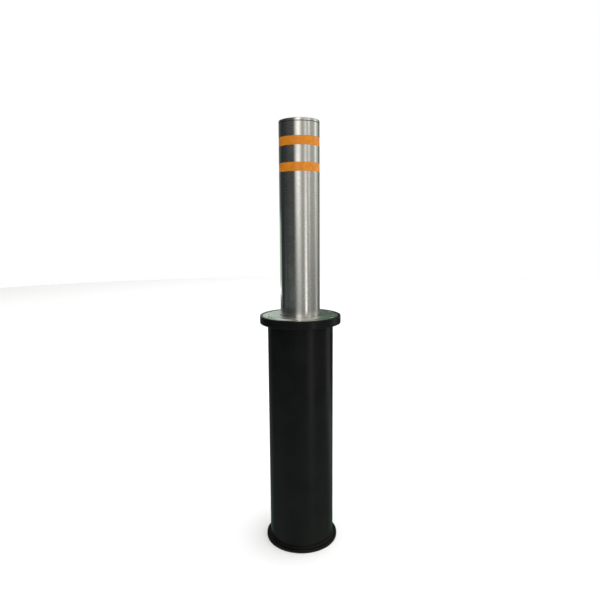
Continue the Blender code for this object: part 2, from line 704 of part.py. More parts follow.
# ---------------------------------------------------------------- lock
def make_lock_barrel():
    """Key barrel in the cap, flanged underneath, with a six-sided key socket."""
    top = POST_TOP - 0.001
    flange = BARREL_R + BARREL_FLANGE_W
    seat = CAP_LOW - GAP
    low = seat - BARREL_FLANGE_T
    points = [(0.0, top), (BARREL_R, top), (BARREL_R, seat), (flange, seat), (flange, low), (0.0, low)]
    barrel = turned("lock_barrel", points, "brass", SMALL, (SHAFT_X, 0.0))
    cut(barrel, rod("key_cut", KEY_HEX_R, top - KEY_DEPTH, top + 0.01, sides=6, at=(SHAFT_X, 0.0),
                    group="cutters"))
    return barrel


def make_lock_shaft():
    """Long shaft from the barrel down to the cam."""
    return rod("lock_shaft", SHAFT_R, CAM_TOP + GAP, SHAFT_TOP, "zinc_steel", TINY, (SHAFT_X, 0.0))


def make_lock_cam():
    """Disc with a crank pin that drives the bolt."""
    cam = rod("lock_cam", CAM_R, CAM_LOW, CAM_TOP, "zinc_steel", SMALL, (SHAFT_X, 0.0))
    pin = (SLOT_X, BOLT_THROW / 2)
    join(cam, rod("crank_pin", CRANK_PIN_R, BOLT_LOW + RUN, CAM_LOW + CAM_T / 2, sides=TINY, at=pin,
                  group="cutters"))
    return cam


def make_lock_bolt():
    """Bar with a slotted yoke plate that the crank pin runs in."""
    half = BOLT_W / 2
    bolt = box("lock_bolt", (BAR_IN, -half, BOLT_LOW), (BOLT_TIP, half, BOLT_TOP), "brushed_stainless")
    reach = CRANK + CRANK_PIN_R + 0.005
    join(bolt, box("yoke", (YOKE_IN, -half, BOLT_LOW), (YOKE_OUT, reach, YOKE_TOP),
                   group="cutters"))
    side = CRANK_PIN_R + 0.0007
    cut(bolt, box("yoke_slot", (SLOT_X - side, BOLT_THROW / 2 - side - 0.001, BOLT_LOW - 0.01),
                  (SLOT_X + side, CRANK + side + 0.0005, YOKE_TOP + 0.01), group="cutters"))
    return bolt


# ---------------------------------------------------------------- key cover
def make_key_cover():
    """Swinging cover over the key socket: a disc and a lug joined by their tangents."""
    lean = math.degrees(math.asin((COVER_DISC_R - COVER_LUG_R) / PIVOT_Y))
    outline = arc((SHAFT_X, PIVOT_Y), COVER_LUG_R, lean, 180 - lean, 8)
    outline += arc((SHAFT_X, 0.0), COVER_DISC_R, 180 - lean, 360 + lean, 16)
    hole = arc((SHAFT_X, PIVOT_Y), RIVET_R + GAP, 0, 337.5, TINY - 1)
    return plate("key_cover", outline, [hole], POST_TOP + GAP, POST_TOP + GAP + COVER_T,
                 "brushed_stainless")


def make_key_cover_rivet():
    """Rivet in the cap that the key cover swings on."""
    seat = POST_TOP + 2 * GAP + COVER_T
    low = POST_TOP - 0.008
    points = [(0.0, seat + RIVET_HEAD_H), (RIVET_HEAD_R * 0.7, seat + RIVET_HEAD_H),
              (RIVET_HEAD_R, seat + RIVET_HEAD_H / 2), (RIVET_HEAD_R, seat), (RIVET_R, seat),
              (RIVET_R, low), (0.0, low)]
    return turned("key_cover_rivet", points, "brushed_stainless", TINY, (SHAFT_X, PIVOT_Y))


# ---------------------------------------------------------------- assembly
def clear_scene():
    """Removes everything, so the model is the same however it is run."""
    for obj in list(bpy.data.objects):
        bpy.data.objects.remove(obj, do_unlink=True)
    for name in ("retractable_bollard", "cutters"):
        group = bpy.data.collections.new(name)
        bpy.context.scene.collection.children.link(group)


def make_axis(name, place):
    """An empty on a joint's axis."""
    empty = bpy.data.objects.new(name, None)
    empty.empty_display_size = 0.05
    empty.location = place
    bpy.data.collections["retractable_bollard"].objects.link(empty)
    return empty


def make_casing():
    """Everything that stays in the ground."""
    make_base_flange()
    make_casing_tube()
    make_head_collar()
    make_cover_plate()
    make_cover_screws()
    make_guide_bush()
    make_wiper_seal()
    make_guide_rails()
    make_lock_strike("lock_strike_upper", 0.0)
    make_lock_strike("lock_strike_lower", -RISE)
    make_lower_buffers()
    make_drain_strainer()
    make_clevis("base_clevis", BASE_T + GAP, LOW_PIN_Z + EYE_R, LOW_PIN_Z)
    make_pin("base_pin", LOW_PIN_Z)
    make_eye("gas_spring_lower_eye", LOW_PIN_Z, LOW_STEM_TOP)
    make_gas_spring_rod()


def make_post():
    """Everything that rises with the post."""
    pieces = [make_post_tube(), make_head_cap(), make_post_foot(), make_upper_buffer()]
    pieces += make_tapes()
    pieces += make_guide_shoes()
    pieces += make_shoe_screws()
    pieces.append(make_clevis("top_clevis", TOP_PLATE_LOW, TOP_PIN_Z - EYE_R, TOP_PIN_Z))
    pieces.append(make_pin("top_pin", TOP_PIN_Z))
    pieces.append(make_eye("gas_spring_upper_eye", TOP_PIN_Z, CYL_TOP + GAP))
    pieces.append(make_gas_spring_cylinder())
    pieces.append(make_shaft_guide_plate())
    pieces.append(make_bolt_housing())
    pieces.append(make_housing_lid())
    pieces += make_housing_screws()
    pieces.append(make_key_cover_rivet())
    ride(pieces, make_axis("post_slide_axis", (0.0, 0.0, FOOT_LOW)))


def make_lock():
    """The barrel, shaft and cam that turn together, and the bolt that they drive."""
    turning = [make_lock_barrel(), make_lock_shaft(), make_lock_cam()]
    ride(turning, make_axis("lock_turn_axis", (SHAFT_X, 0.0, POST_TOP)))
    ride([make_lock_bolt()], make_axis("bolt_slide_axis", (BOLT_TIP, 0.0, BOLT_LOW)))
    ride([make_key_cover()], make_axis("key_cover_axis", (SHAFT_X, PIVOT_Y, POST_TOP)))


def main():
    clear_scene()
    make_casing()
    make_post()
    make_lock()


main()
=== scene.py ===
"""Looks of the retractable bollard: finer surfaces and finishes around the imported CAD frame."""

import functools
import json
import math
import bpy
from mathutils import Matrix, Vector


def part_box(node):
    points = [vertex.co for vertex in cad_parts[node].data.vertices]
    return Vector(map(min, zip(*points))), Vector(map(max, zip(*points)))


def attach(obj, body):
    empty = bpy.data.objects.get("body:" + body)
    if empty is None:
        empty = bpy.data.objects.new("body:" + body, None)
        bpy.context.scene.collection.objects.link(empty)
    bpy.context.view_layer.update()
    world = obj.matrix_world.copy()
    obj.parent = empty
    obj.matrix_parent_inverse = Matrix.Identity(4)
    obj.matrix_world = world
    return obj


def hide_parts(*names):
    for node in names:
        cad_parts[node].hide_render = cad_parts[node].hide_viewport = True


bl_info = {
    "name": "Retractable bollard looks",
    "version": (1, 0, 0),
    "blender": (4, 5, 0),
    "location": "3D View > Sidebar > Bollard",
    "description": "Builds the bollard's visible surfaces, finishes and studio around its CAD frame",
    "category": "Object",
}

import bpy
import numpy as np
from bpy.props import FloatProperty, FloatVectorProperty, IntProperty
from mathutils import Matrix, Vector

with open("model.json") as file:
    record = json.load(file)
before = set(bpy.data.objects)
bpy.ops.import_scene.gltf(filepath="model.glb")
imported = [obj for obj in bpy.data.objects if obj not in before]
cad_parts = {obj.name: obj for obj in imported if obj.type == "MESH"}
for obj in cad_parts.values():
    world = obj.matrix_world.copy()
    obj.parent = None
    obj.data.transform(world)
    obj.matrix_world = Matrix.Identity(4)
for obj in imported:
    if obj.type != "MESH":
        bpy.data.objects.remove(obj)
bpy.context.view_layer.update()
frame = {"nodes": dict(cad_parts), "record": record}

# ---------------------------------------------------------------- sizes read from the frame
POST_LOW, POST_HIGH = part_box("post_tube")
POST_R = POST_HIGH[0]
CAP_LOW, CAP_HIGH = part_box("head_cap")
COLLAR_LOW, COLLAR_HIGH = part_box("head_collar")
COVER_LOW, COVER_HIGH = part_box("cover_plate")
CASING_LOW, CASING_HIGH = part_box("casing_tube")
BASE_LOW, BASE_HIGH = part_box("base_flange")
BUSH_LOW, BUSH_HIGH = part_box("guide_bush")
WIPER_LOW, WIPER_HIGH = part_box("wiper_seal")
BARREL_LOW, BARREL_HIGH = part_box("lock_barrel")
KEY_COVER_LOW, KEY_COVER_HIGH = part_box("key_cover")
RIVET_LOW, RIVET_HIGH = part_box("key_cover_rivet")
COVER_SCREWS = sorted(name for name in frame["nodes"] if name.startswith("cover_screw_"))
NODE_SLOTS = {row["node"]: row["material_slot"] for row in frame["record"]["subparts"]}
NODE_BODIES = {node: body for body, nodes in frame["record"]["behaviour"]["bodies"].items()
               for node in nodes}
TAPES = ("reflective_tape_upper", "reflective_tape_lower")
GAP = 0.0003  # between surfaces that meet
CREASE = math.radians(32)  # steeper edges of small pieces stay sharp


def middle(node):
    """Centre of a node's box as (x, y)."""
    low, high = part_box(node)
    return ((low[0] + high[0]) / 2, (low[1] + high[1]) / 2)


# ---------------------------------------------------------------- settings
def length(name, description, default):
    """A property in metres."""
    return FloatProperty(name=name, description=description, default=default, unit="LENGTH",
                         precision=5)


def share(name, description, default):
    """A property from nought to one."""
    return FloatProperty(name=name, description=description, default=default, min=0.0, max=1.0)


def colour(name, description, default):
    """A linear colour."""
    return FloatVectorProperty(name=name, description=description, default=default, size=3,
                               subtype="COLOR", min=0.0, max=1.0)


class BollardPostSettings(bpy.types.PropertyGroup):
    """Sizes and colours of everything that rises."""

    wall: length("Wall", "Thickness of the post tube", 0.006)
    groove: length("Tape groove", "Depth of the grooves that the tapes lie in", 0.001)
    edge: length("Edge", "Softening of the tube's turned edges", 0.0004)
    cap_round: length("Cap rounding", "Radius of the cap's edge", 0.004)
    seam: length("Cap seam", "Depth of the chamfers where cap and tube meet", 0.0009)
    # Painted shade: height of the dark line painted along the cap seam
    shade_line_height: length("Painted seam shade", "Height of the dark line along the seam", 0.0022)
    hole: length("Barrel hole", "Radius of the hole for the lock barrel", 0.0143)
    key_hex: length("Key socket", "Corner radius of the six-sided key socket", 0.0065)
    key_depth: length("Key socket depth", "Depth of the key socket", 0.014)
    tape_swell: length("Tape swell", "How far the tape's middle stands proud of its edges", 0.00012)
    tape_lap: length("Tape lap", "Length of the overlap where a tape's ends meet", 0.012)
    cell: length("Tape cell", "Width of one cell of the tape's reflecting pattern", 0.0036)
    steel: colour("Steel", "Reflected colour of the stainless steel", (0.62, 0.61, 0.585))
    steel_roughness: share("Steel roughness", "Blur along the grain", 0.24)
    steel_grain: share("Steel grain", "How much further the grain spreads highlights", 0.82)
    tape: colour("Tape", "Colour of the reflective tape", (0.64, 0.20, 0.010))


class BollardHeadSettings(bpy.types.PropertyGroup):
    """Sizes of the collar, the cover plate and what lies round the post."""

    collar_edge: length("Collar edge", "Rounding of the collar's outer edges", 0.0028)
    rim: length("Rim width", "Width of the black rim around the cover plate", 0.011)
    band: length("Screw band", "Width of the cover plate's outer band", 0.0185)
    band_drop: length("Band drop", "How far the band lies under the raised middle", 0.0025)
    bevel: length("Bevel", "Width of the slope between band and middle", 0.004)
    bore: length("Cover bore", "Gap between cover plate and post", 0.0025)
    screw_head: length("Screw head", "Radius of the countersunk heads", 0.008)
    screw_shank: length("Screw shank", "Radius of the screws' shanks", 0.004)
    screw_hex: length("Screw socket", "Corner radius of the hexagon sockets", 0.0029)


class BollardCasingSettings(bpy.types.PropertyGroup):
    """Sizes and colours of the buried casing."""

    wall: length("Wall", "Thickness of the casing tube", 0.005)
    bead: length("Weld bead", "Leg length of the welds at both ends of the tube", 0.0045)
    ripple: share("Weld ripple", "Depth of the ripples along the welds", 0.10)
    ripples: IntProperty(name="Ripples", description="Ripples in one weld", default=150, min=8)
    base_edge: length("Base edge", "Rounding of the base flange's edge", 0.0015)
    drain: length("Drain hole", "Radius of the drain hole", 0.022)
    coat: colour("Coat", "Colour of the black coating", (0.0028, 0.0033, 0.0030))
    coat_roughness: share("Coat roughness", "Roughness of the black coating", 0.28)


class BollardStageSettings(bpy.types.PropertyGroup):
    """Camera and studio."""

    lens: FloatProperty(name="Lens", description="Focal length in millimetres", default=31.2)
    distance: length("Distance", "Camera to the post's centre line", 2.2037)
    eye: length("Eye height", "Camera above the floor", 1.3895)
    pitch: FloatProperty(name="Pitch", description="Downward tilt", default=0.1429,
                         subtype="ANGLE")
    roll: FloatProperty(name="Roll", description="Turn about the view axis", default=-0.0070,
                        subtype="ANGLE")
    yaw: FloatProperty(name="Yaw", description="Turn to the right", default=-0.0004,
                       subtype="ANGLE")
    fill: FloatProperty(name="Fill", description="Brightness of the even light", default=0.84,
                        min=0.0)
    slant: FloatProperty(name="Slant", description="Extra even light from the right",
                         default=0.58, min=0.0)
    overhead: FloatProperty(name="Overhead", description="Extra even light from above",
                            default=1.2, min=0.0)
    floor: colour("Floor", "Colour of the floor", (0.93, 0.93, 0.925))
    card: colour("Card", "Glow of the card that stands behind on the left", (0.42, 0.54, 0.45))


# ---------------------------------------------------------------- surfaces
def rounded_profile(corners, radii, steps=5):
    """Closed or open outline in the (radius, height) plane with every corner rounded.

    Each corner is replaced by an arc tangent to both of its sides. One more point stands on
    each side just past the arc, so that flat stretches shade flat. Returns the points and a
    mask that is 1 on the arcs. Corners on the axis, where the radius is 0, stay sharp.
    """
    corners = [np.array(corner, float) for corner in corners]
    if np.isscalar(radii):
        radii = [radii] * len(corners)
    points, mask = [], []
    count = len(corners)
    for i, corner in enumerate(corners):
        open_end = corners[0][0] == 0.0 and i in (0, count - 1)
        if open_end or radii[i] == 0.0:
            points.append(corner[None])
            mask.append(np.zeros(1))
            continue
        before = corners[i - 1] - corner
        after = corners[(i + 1) % count] - corner
        room = min(np.linalg.norm(before), np.linalg.norm(after))
        before /= np.linalg.norm(before)
        after /= np.linalg.norm(after)
        half = math.acos(np.clip(before @ after, -1.0, 1.0)) / 2
        reach = min(radii[i] / math.tan(half), 0.42 * room)
        radius = reach * math.tan(half)
        bisector = (before + after) / np.linalg.norm(before + after)
        centre = corner + bisector * radius / math.sin(half)
        start = (corner + before * reach - centre) / radius
        end = (corner + after * reach - centre) / radius
        turn = math.acos(np.clip(start @ end, -1.0, 1.0))
        t = np.linspace(0.0, 1.0, steps + 1)[:, None]
        arc = (np.sin((1 - t) * turn) * start + np.sin(t * turn) * end) / math.sin(turn)
        extra = min(0.12 * reach, 0.04 * room)
        points += [(corner + before * (reach + extra))[None], centre + radius * arc,
                   (corner + after * (reach + extra))[None]]
        mask += [np.zeros(1), np.ones(steps + 1), np.zeros(1)]
    return np.concatenate(points), np.concatenate(mask)


def angles(columns):
    """Angles of evenly spaced columns, once round."""
    return np.arange(columns) * 2 * math.pi / columns


def swept(profile, columns, centre=(0.0, 0.0)):
    """Grid of points of a turned surface: (cx + r cos a, cy + r sin a, z) for each r, z and a.

    The profile has rows of (r, z). A row's r may also be an array with one radius an angle.
    """
    turn = angles(columns)
    r = np.stack([np.broadcast_to(radius, columns) for radius, height in profile])
    z = np.array([height for radius, height in profile])[:, None] + 0 * r
    return np.stack([centre[0] + r * np.cos(turn), centre[1] + r * np.sin(turn), z], axis=2)


def grid_piece(name, grid, node=None, finish=None, loop=True, mask=None):
    """Makes a piece from a grid of points whose columns close round.

    It stands for a CAD node if one is given, with the node's body and slot, and with the slot's
    finish unless another is given. With loop, the last row joins the first. Without it, the
    first and last rows are closed by fans to their mean points. The mask becomes the attribute
    edge.
    """
    rows, columns = grid.shape[:2]
    points = grid.reshape(-1, 3)
    mask = np.zeros(rows) if mask is None else mask
    edge = np.repeat(mask, columns)
    i = np.arange(rows if loop else rows - 1)[:, None]
    j = np.arange(columns)[None, :]
    low, high = i * columns, (i + 1) % rows * columns
    after = (j + 1) % columns
    quads = np.stack([low + j, high + j, high + after, low + after], axis=2).reshape(-1, 4)
    faces = quads.tolist()
    if not loop:
        poles = np.stack([grid[0].mean(axis=0), grid[-1].mean(axis=0)])
        top, bottom = len(points), len(points) + 1
        points = np.concatenate([points, poles])
        edge = np.concatenate([edge, np.zeros(2)])
        ring = np.arange(columns)
        step = np.roll(ring, -1)
        last = (rows - 1) * columns
        faces += np.stack([np.full(columns, top), ring, step], axis=1).tolist()
        faces += np.stack([np.full(columns, bottom), last + step, last + ring], axis=1).tolist()
    mesh = bpy.data.meshes.new(name)
    mesh.from_pydata(points.tolist(), [], faces)
    held = mesh.attributes.new("edge", "FLOAT", "POINT")
    held.data.foreach_set("value", edge.astype(np.float32))
    mesh.shade_smooth()
    piece = bpy.data.objects.new(name, mesh)
    bpy.context.scene.collection.objects.link(piece)
    if node:
        settle(piece, NODE_BODIES[node], [node], NODE_SLOTS[node], finish)
    return piece


def settle(piece, body, replaced, slot, finish=None):
    """Puts a piece on its CAD body, in place of the nodes it stands for, with its finish."""
    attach(piece, body)
    if replaced:
        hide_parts(*replaced)
    piece.data.materials.clear()
    piece.data.materials.append(finish or SLOT_FINISHES[slot]())


def turned_piece(name, corners, radii, columns, node, finish=None):
    """A piece turned from a rounded outline that runs down its outer side."""
    profile, mask = rounded_profile(corners, radii)
    loop = corners[0][0] > 0.0
    if not loop:
        profile, mask = profile[1:-1], mask[1:-1]
    return grid_piece(name, swept(profile, columns), node, finish, loop, mask)


def carve(piece, cutters, angle=math.radians(28)):
    """Cuts closed shapes out of a piece and applies the result to its mesh."""
    for cutter in cutters:
        step = piece.modifiers.new("Carve", "BOOLEAN")
        step.operation = "DIFFERENCE"
        step.solver = "EXACT"
        step.object = cutter
    bpy.context.view_layer.update()
    seen = piece.evaluated_get(bpy.context.evaluated_depsgraph_get())
    mesh = bpy.data.meshes.new_from_object(seen)
    piece.modifiers.clear()
    old = piece.data
    piece.data = mesh
    bpy.data.meshes.remove(old)
    for cutter in cutters:
        bpy.data.objects.remove(cutter)
    mesh.shade_smooth()
    mesh.set_sharp_from_angle(angle=angle)


def polygon_radius(turn, sides, corner_radius):
    """Distance from the centre to a regular polygon's side in the direction turn."""
    sector = 2 * math.pi / sides
    return corner_radius * math.cos(sector / 2) / np.cos((turn % sector) - sector / 2)


# ---------------------------------------------------------------- node helpers
FLOAT = "NodeSocketFloat"
VECTOR = "NodeSocketVector"


def fill(tree, node, inputs):
    """Sets or links a node's inputs. A colour may come without its alpha."""
    for key, value in inputs.items():
        socket = node.inputs[key]
        if isinstance(value, bpy.types.NodeSocket):
            tree.links.new(value, socket)
        elif socket.type == "RGBA" and len(value) == 3:
            socket.default_value = (*value, 1.0)
        else:
            socket.default_value = value


def put(tree, kind, inputs=None, **settings):
    """Adds a node, sets its properties, and sets or links its inputs."""
    node = tree.nodes.new(kind)
    for key, value in settings.items():
        setattr(node, key, value)
    fill(tree, node, inputs or {})
    return node


def calc(tree, operation, *values):
    """A Math node's output."""
    return put(tree, "ShaderNodeMath", dict(enumerate(values)), operation=operation).outputs[0]


def vector(tree, operation, inputs, output=0):
    """A Vector Math node's output: 0 is the vector, 1 the value."""
    return put(tree, "ShaderNodeVectorMath", inputs, operation=operation).outputs[output]


def split(tree, place):
    """The three parts of a vector."""
    return put(tree, "ShaderNodeSeparateXYZ", {0: place}).outputs


def join(tree, *parts):
    """A vector from its parts; one that isn't given is nought."""
    return put(tree, "ShaderNodeCombineXYZ", dict(enumerate(parts))).outputs[0]


def ramp(tree, value, low, high, start=0.0, end=1.0):
    """Smooth step from start to end as value goes from low to high."""
    inputs = {"Value": value, "From Min": low, "From Max": high, "To Min": start, "To Max": end}
    return put(tree, "ShaderNodeMapRange", inputs, interpolation_type="SMOOTHSTEP").outputs[0]


def noise(tree, place, scale, detail, roughness=0.5):
    """Noise from nought to one."""
    inputs = {"Vector": place, "Scale": scale, "Detail": detail, "Roughness": roughness}
    return put(tree, "ShaderNodeTexNoise", inputs).outputs[0]


def mix_colour(tree, factor, first, second, blend="MIX"):
    """A mix of two colours."""
    inputs = {"Factor": factor, 6: first, 7: second}
    return put(tree, "ShaderNodeMix", inputs, data_type="RGBA", blend_type=blend).outputs[2]


def object_place(tree):
    """Object coordinates."""
    return put(tree, "ShaderNodeTexCoord").outputs["Object"]


def scaled(colour, factor):
    """A colour times a factor."""
    return tuple(factor * value for value in colour)


def effect(inputs, outputs):
    """Turns build(tree, given) into a function that gives its node group, made once.

    Inputs are (name, kind, default), outputs are (name, kind).
    """
    def wrap(build):
        @functools.wraps(build)
        def made():
            name = build.__name__
            if name in bpy.data.node_groups:
                return bpy.data.node_groups[name]
            tree = bpy.data.node_groups.new(name, "ShaderNodeTree")
            for title, kind, default in inputs:
                socket = tree.interface.new_socket(name=title, in_out="INPUT", socket_type=kind)
                if default is not None:
                    socket.default_value = default
            for title, kind in outputs:
                tree.interface.new_socket(name=title, in_out="OUTPUT", socket_type=kind)
            put(tree, "NodeGroupOutput", build(tree, put(tree, "NodeGroupInput").outputs))
            return tree
        return made
    return wrap


def use(tree, made, **inputs):
    """Places a node group. Underscores in the names of inputs stand for spaces."""
    node = put(tree, "ShaderNodeGroup", node_tree=made())
    fill(tree, node, {key.replace("_", " "): value for key, value in inputs.items()})
    return node.outputs


def material(name):
    """Turns build(tree, shader) into a function that gives its material, made once."""
    def wrap(build):
        @functools.wraps(build)
        def made():
            finish = bpy.data.materials.get(name)
            if finish is None:
                finish = bpy.data.materials.new(name)
                finish.use_nodes = True
                build(finish.node_tree, finish.node_tree.nodes["Principled BSDF"])
            return finish
        return made
    return wrap


def bump(tree, height, distance, strength):
    """A normal from a height, through a Bump node."""
    inputs = {"Height": height, "Distance": distance, "Strength": strength}
    return put(tree, "ShaderNodeBump", inputs).outputs[0]


# ---------------------------------------------------------------- shared effects
@effect([("Centre", VECTOR, (0.0, 0.0, 0.0))],
        [("Direction", VECTOR), ("Radius", FLOAT), ("Height", FLOAT), ("Angle", FLOAT)])
def round_place(tree, given):
    """Position around an upright axis, as a unit direction, a radius, a height and an angle."""
    parts = split(tree, vector(tree, "SUBTRACT", {0: object_place(tree), 1: given["Centre"]}))
    flat = join(tree, parts[0], parts[1])
    return {"Direction": vector(tree, "NORMALIZE", {0: flat}),
            "Radius": vector(tree, "LENGTH", {0: flat}, 1), "Height": parts[2],
            "Angle": calc(tree, "ARCTAN2", parts[1], parts[0])}


@effect([("Direction", VECTOR, None), ("Across", FLOAT, 0.0), ("Width", FLOAT, 0.0004),
         ("Turns", FLOAT, 5.0)], [("Lines", FLOAT)])
def turned_grain(tree, given):
    """Fine lines around an axis. Across is the coordinate that the lines vary with."""
    parts = split(tree, vector(tree, "SCALE", {0: given["Direction"], "Scale": given["Turns"]}))
    fine = calc(tree, "DIVIDE", given["Across"], given["Width"])
    lines = noise(tree, join(tree, parts[0], parts[1], fine), 1.0, 3.0, 0.65)
    coarse = calc(tree, "MULTIPLY", fine, 0.043)
    bands = noise(tree, join(tree, parts[0], parts[1], coarse), 1.0, 2.0)
    both = calc(tree, "MULTIPLY_ADD", bands, 0.35, calc(tree, "MULTIPLY", lines, 0.65))
    return {"Lines": ramp(tree, both, 0.3, 0.7)}


@effect([("Scale", FLOAT, 160.0), ("Threshold", FLOAT, 0.55)], [("Mask", FLOAT)])
def edge_wear(tree, given):
    """Broken-up wear where the attribute edge is high."""
    edge = put(tree, "ShaderNodeAttribute", attribute_name="edge").outputs["Fac"]
    broken = noise(tree, object_place(tree), given["Scale"], 5.0, 0.7)
    chips = ramp(tree, broken, given["Threshold"], calc(tree, "ADD", given["Threshold"], 0.06))
    return {"Mask": calc(tree, "MULTIPLY", edge, chips)}


@effect([("Height", FLOAT, 0.0), ("Reach", FLOAT, 0.05), ("Amount", FLOAT, 0.3)],
        [("Mask", FLOAT)])
def settled_dust(tree, given):
    """Dust on faces that look up and near a height, broken up by noise."""
    up = split(tree, put(tree, "ShaderNodeNewGeometry").outputs["Normal"])[2]
    place = object_place(tree)
    away = calc(tree, "ABSOLUTE", calc(tree, "SUBTRACT", split(tree, place)[2], given["Height"]))
    near = ramp(tree, away, 0.0, given["Reach"], 1.0, 0.0)
    patch = calc(tree, "MULTIPLY", ramp(tree, noise(tree, place, 240.0, 5.0, 0.75), 0.38, 0.72),
                 ramp(tree, noise(tree, place, 14.0, 3.0), 0.3, 0.7))
    lying = calc(tree, "MAXIMUM", ramp(tree, up, 0.5, 1.0), calc(tree, "MULTIPLY", near, 0.8))
    return {"Mask": calc(tree, "MULTIPLY", calc(tree, "MULTIPLY", patch, lying), given["Amount"])}


@effect([("Scale", FLOAT, 420.0)], [("Height", FLOAT), ("Cloud", FLOAT)])
def orange_peel(tree, given):
    """The soft dimples of a sprayed and baked coating."""
    place = object_place(tree)
    return {"Height": noise(tree, place, given["Scale"], 1.0),
            "Cloud": ramp(tree, noise(tree, place, 9.0, 4.0, 0.6), 0.3, 0.7)}


@effect([], [("Value", FLOAT)])
def smudges(tree, given):
    """Faint upright runs and hand marks that change a metal's roughness."""
    place = object_place(tree)
    drawn = put(tree, "ShaderNodeMapping", {"Vector": place, "Scale": (34.0, 34.0, 2.2)}).outputs[0]
    runs = ramp(tree, noise(tree, drawn, 1.0, 4.0, 0.6), 0.35, 0.7)
    hands = ramp(tree, noise(tree, place, 16.0, 5.0), 0.35, 0.65)
    return {"Value": calc(tree, "MULTIPLY", runs, hands)}


@effect([("Along", FLOAT, 0.0), ("Up", FLOAT, 0.0), ("Cells per metre", FLOAT, 280.0)],
        [("Line", FLOAT), ("Dome", FLOAT)])
def honeycomb(tree, given):
    """Six-sided cells. A point belongs to the nearer of two offset rectangular lattices."""
    size = vector(tree, "SCALE", {0: join(tree, given["Along"], given["Up"]),
                                  "Scale": given["Cells per metre"]})
    half = (0.5, math.sqrt(3) / 2, 0.5)

    def cell(place):
        wrapped = vector(tree, "WRAP", {0: place, 1: half, 2: scaled(half, -1)})
        return wrapped, vector(tree, "LENGTH", {0: wrapped}, 1)

    first, first_far = cell(size)
    second, second_far = cell(vector(tree, "SUBTRACT", {0: size, 1: half}))
    nearer = calc(tree, "LESS_THAN", first_far, second_far)
    inside = put(tree, "ShaderNodeMix", {"Factor": nearer, 4: second, 5: first},
                 data_type="VECTOR").outputs[1]
    flat = vector(tree, "ABSOLUTE", {0: inside})
    slope = vector(tree, "DOT_PRODUCT", {0: flat, 1: (0.5, math.sqrt(3) / 2, 0.0)}, 1)
    reach = calc(tree, "MAXIMUM", slope, split(tree, flat)[0])
    return {"Line": ramp(tree, reach, 0.43, 0.49), "Dome": calc(tree, "SUBTRACT", 1.0, reach)}


# ---------------------------------------------------------------- finishes
def brushed_steel(name, roughness, grain, flat=False, centre=(0.0, 0.0), width=0.0005, joint=None,
                  bright=None):
    """Stainless steel with lines around an axis; flat lies across it, as on a turned disc.

    Painted shade darkens a thin line at the joint's height if one is given. Between the two
    radii of bright, the metal is turned smoother.
    """
    @material(name)
    def steel(tree, shader):
        post = bpy.context.scene.bollard_post
        place = use(tree, round_place, Centre=(*centre, 0.0))
        across = place["Radius"] if flat else place["Height"]
        lines = use(tree, turned_grain, Direction=place["Direction"], Across=across, Width=width,
                    Turns=5.0)["Lines"]
        marks = use(tree, smudges)["Value"]
        clean = mix_colour(tree, lines, scaled(post.steel, 0.88), tuple(post.steel))
        base = mix_colour(tree, calc(tree, "MULTIPLY", marks, 0.35), clean,
                          scaled(post.steel, 0.80))
        if joint is not None:
            # Painted shade: the colour darkens in a thin line at the joint's height, standing in for
            # the shade in the seam
            away = calc(tree, "ABSOLUTE", calc(tree, "SUBTRACT", place["Height"], joint))
            painted_seam_shade = ramp(tree, away, 0.2 * post.shade_line_height, post.shade_line_height, 0.8, 0.0)
            base = mix_colour(tree, painted_seam_shade, base, (0.05, 0.048, 0.044))
        blur = calc(tree, "MULTIPLY_ADD", lines, -0.06, roughness + 0.03)
        blur = calc(tree, "MULTIPLY_ADD", marks, 0.06, blur)
        if bright is not None:
            soft = 0.0005
            ring = calc(tree, "MULTIPLY",
                        ramp(tree, place["Radius"], bright[0] - soft, bright[0]),
                        ramp(tree, place["Radius"], bright[1], bright[1] + soft, 1.0, 0.0))
            blur = calc(tree, "MULTIPLY_ADD", ring, -0.65 * roughness, blur)
        tangent = put(tree, "ShaderNodeTangent", direction_type="RADIAL", axis="Z").outputs[0]
        fill(tree, shader, {"Base Color": base, "Roughness": blur, "Metallic": 1.0,
                            "Anisotropic": grain, "Anisotropic Rotation": 0.25,
                            "Tangent": tangent, "Normal": bump(tree, lines, 0.00001, 0.5)})
    return steel()


def post_steel():
    """The post's long-grain stainless finish."""
    post = bpy.context.scene.bollard_post
    # The joint brings the painted shade line along the cap seam
    return brushed_steel("post_steel", post.steel_roughness, post.steel_grain, joint=POST_HIGH[2])


def cover_steel():
    """The cover plate's turned stainless finish, smoother on its bevel."""
    head = bpy.context.scene.bollard_head
    bevel_out = COVER_HIGH[0] - head.band
    return brushed_steel("cover_steel", 0.36, 0.5, flat=True, width=0.0007,
                         bright=(bevel_out - head.bevel, bevel_out))


@material("black_coat_finish")
def black_coat(tree, shader):
    """Baked black coating with worn edges and a little dust."""
    casing = bpy.context.scene.bollard_casing
    peel = use(tree, orange_peel, Scale=520.0)
    wear = use(tree, edge_wear, Scale=210.0, Threshold=0.60)["Mask"]
    dust = use(tree, settled_dust, Height=BASE_HIGH[2], Reach=0.05, Amount=0.10)["Mask"]
    base = mix_colour(tree, peel["Cloud"], tuple(casing.coat), scaled(casing.coat, 1.6))
    base = mix_colour(tree, calc(tree, "MULTIPLY", wear, 0.5), base, (0.06, 0.06, 0.058))
    base = mix_colour(tree, dust, base, (0.16, 0.14, 0.11))
    blur = calc(tree, "MULTIPLY_ADD", peel["Cloud"], 0.08, casing.coat_roughness)
    fill(tree, shader, {"Base Color": base, "Roughness": calc(tree, "MULTIPLY_ADD", dust, 0.4, blur),
                        "Specular IOR Level": 0.14,
                        "Normal": bump(tree, peel["Height"], 0.00006, 0.5)})


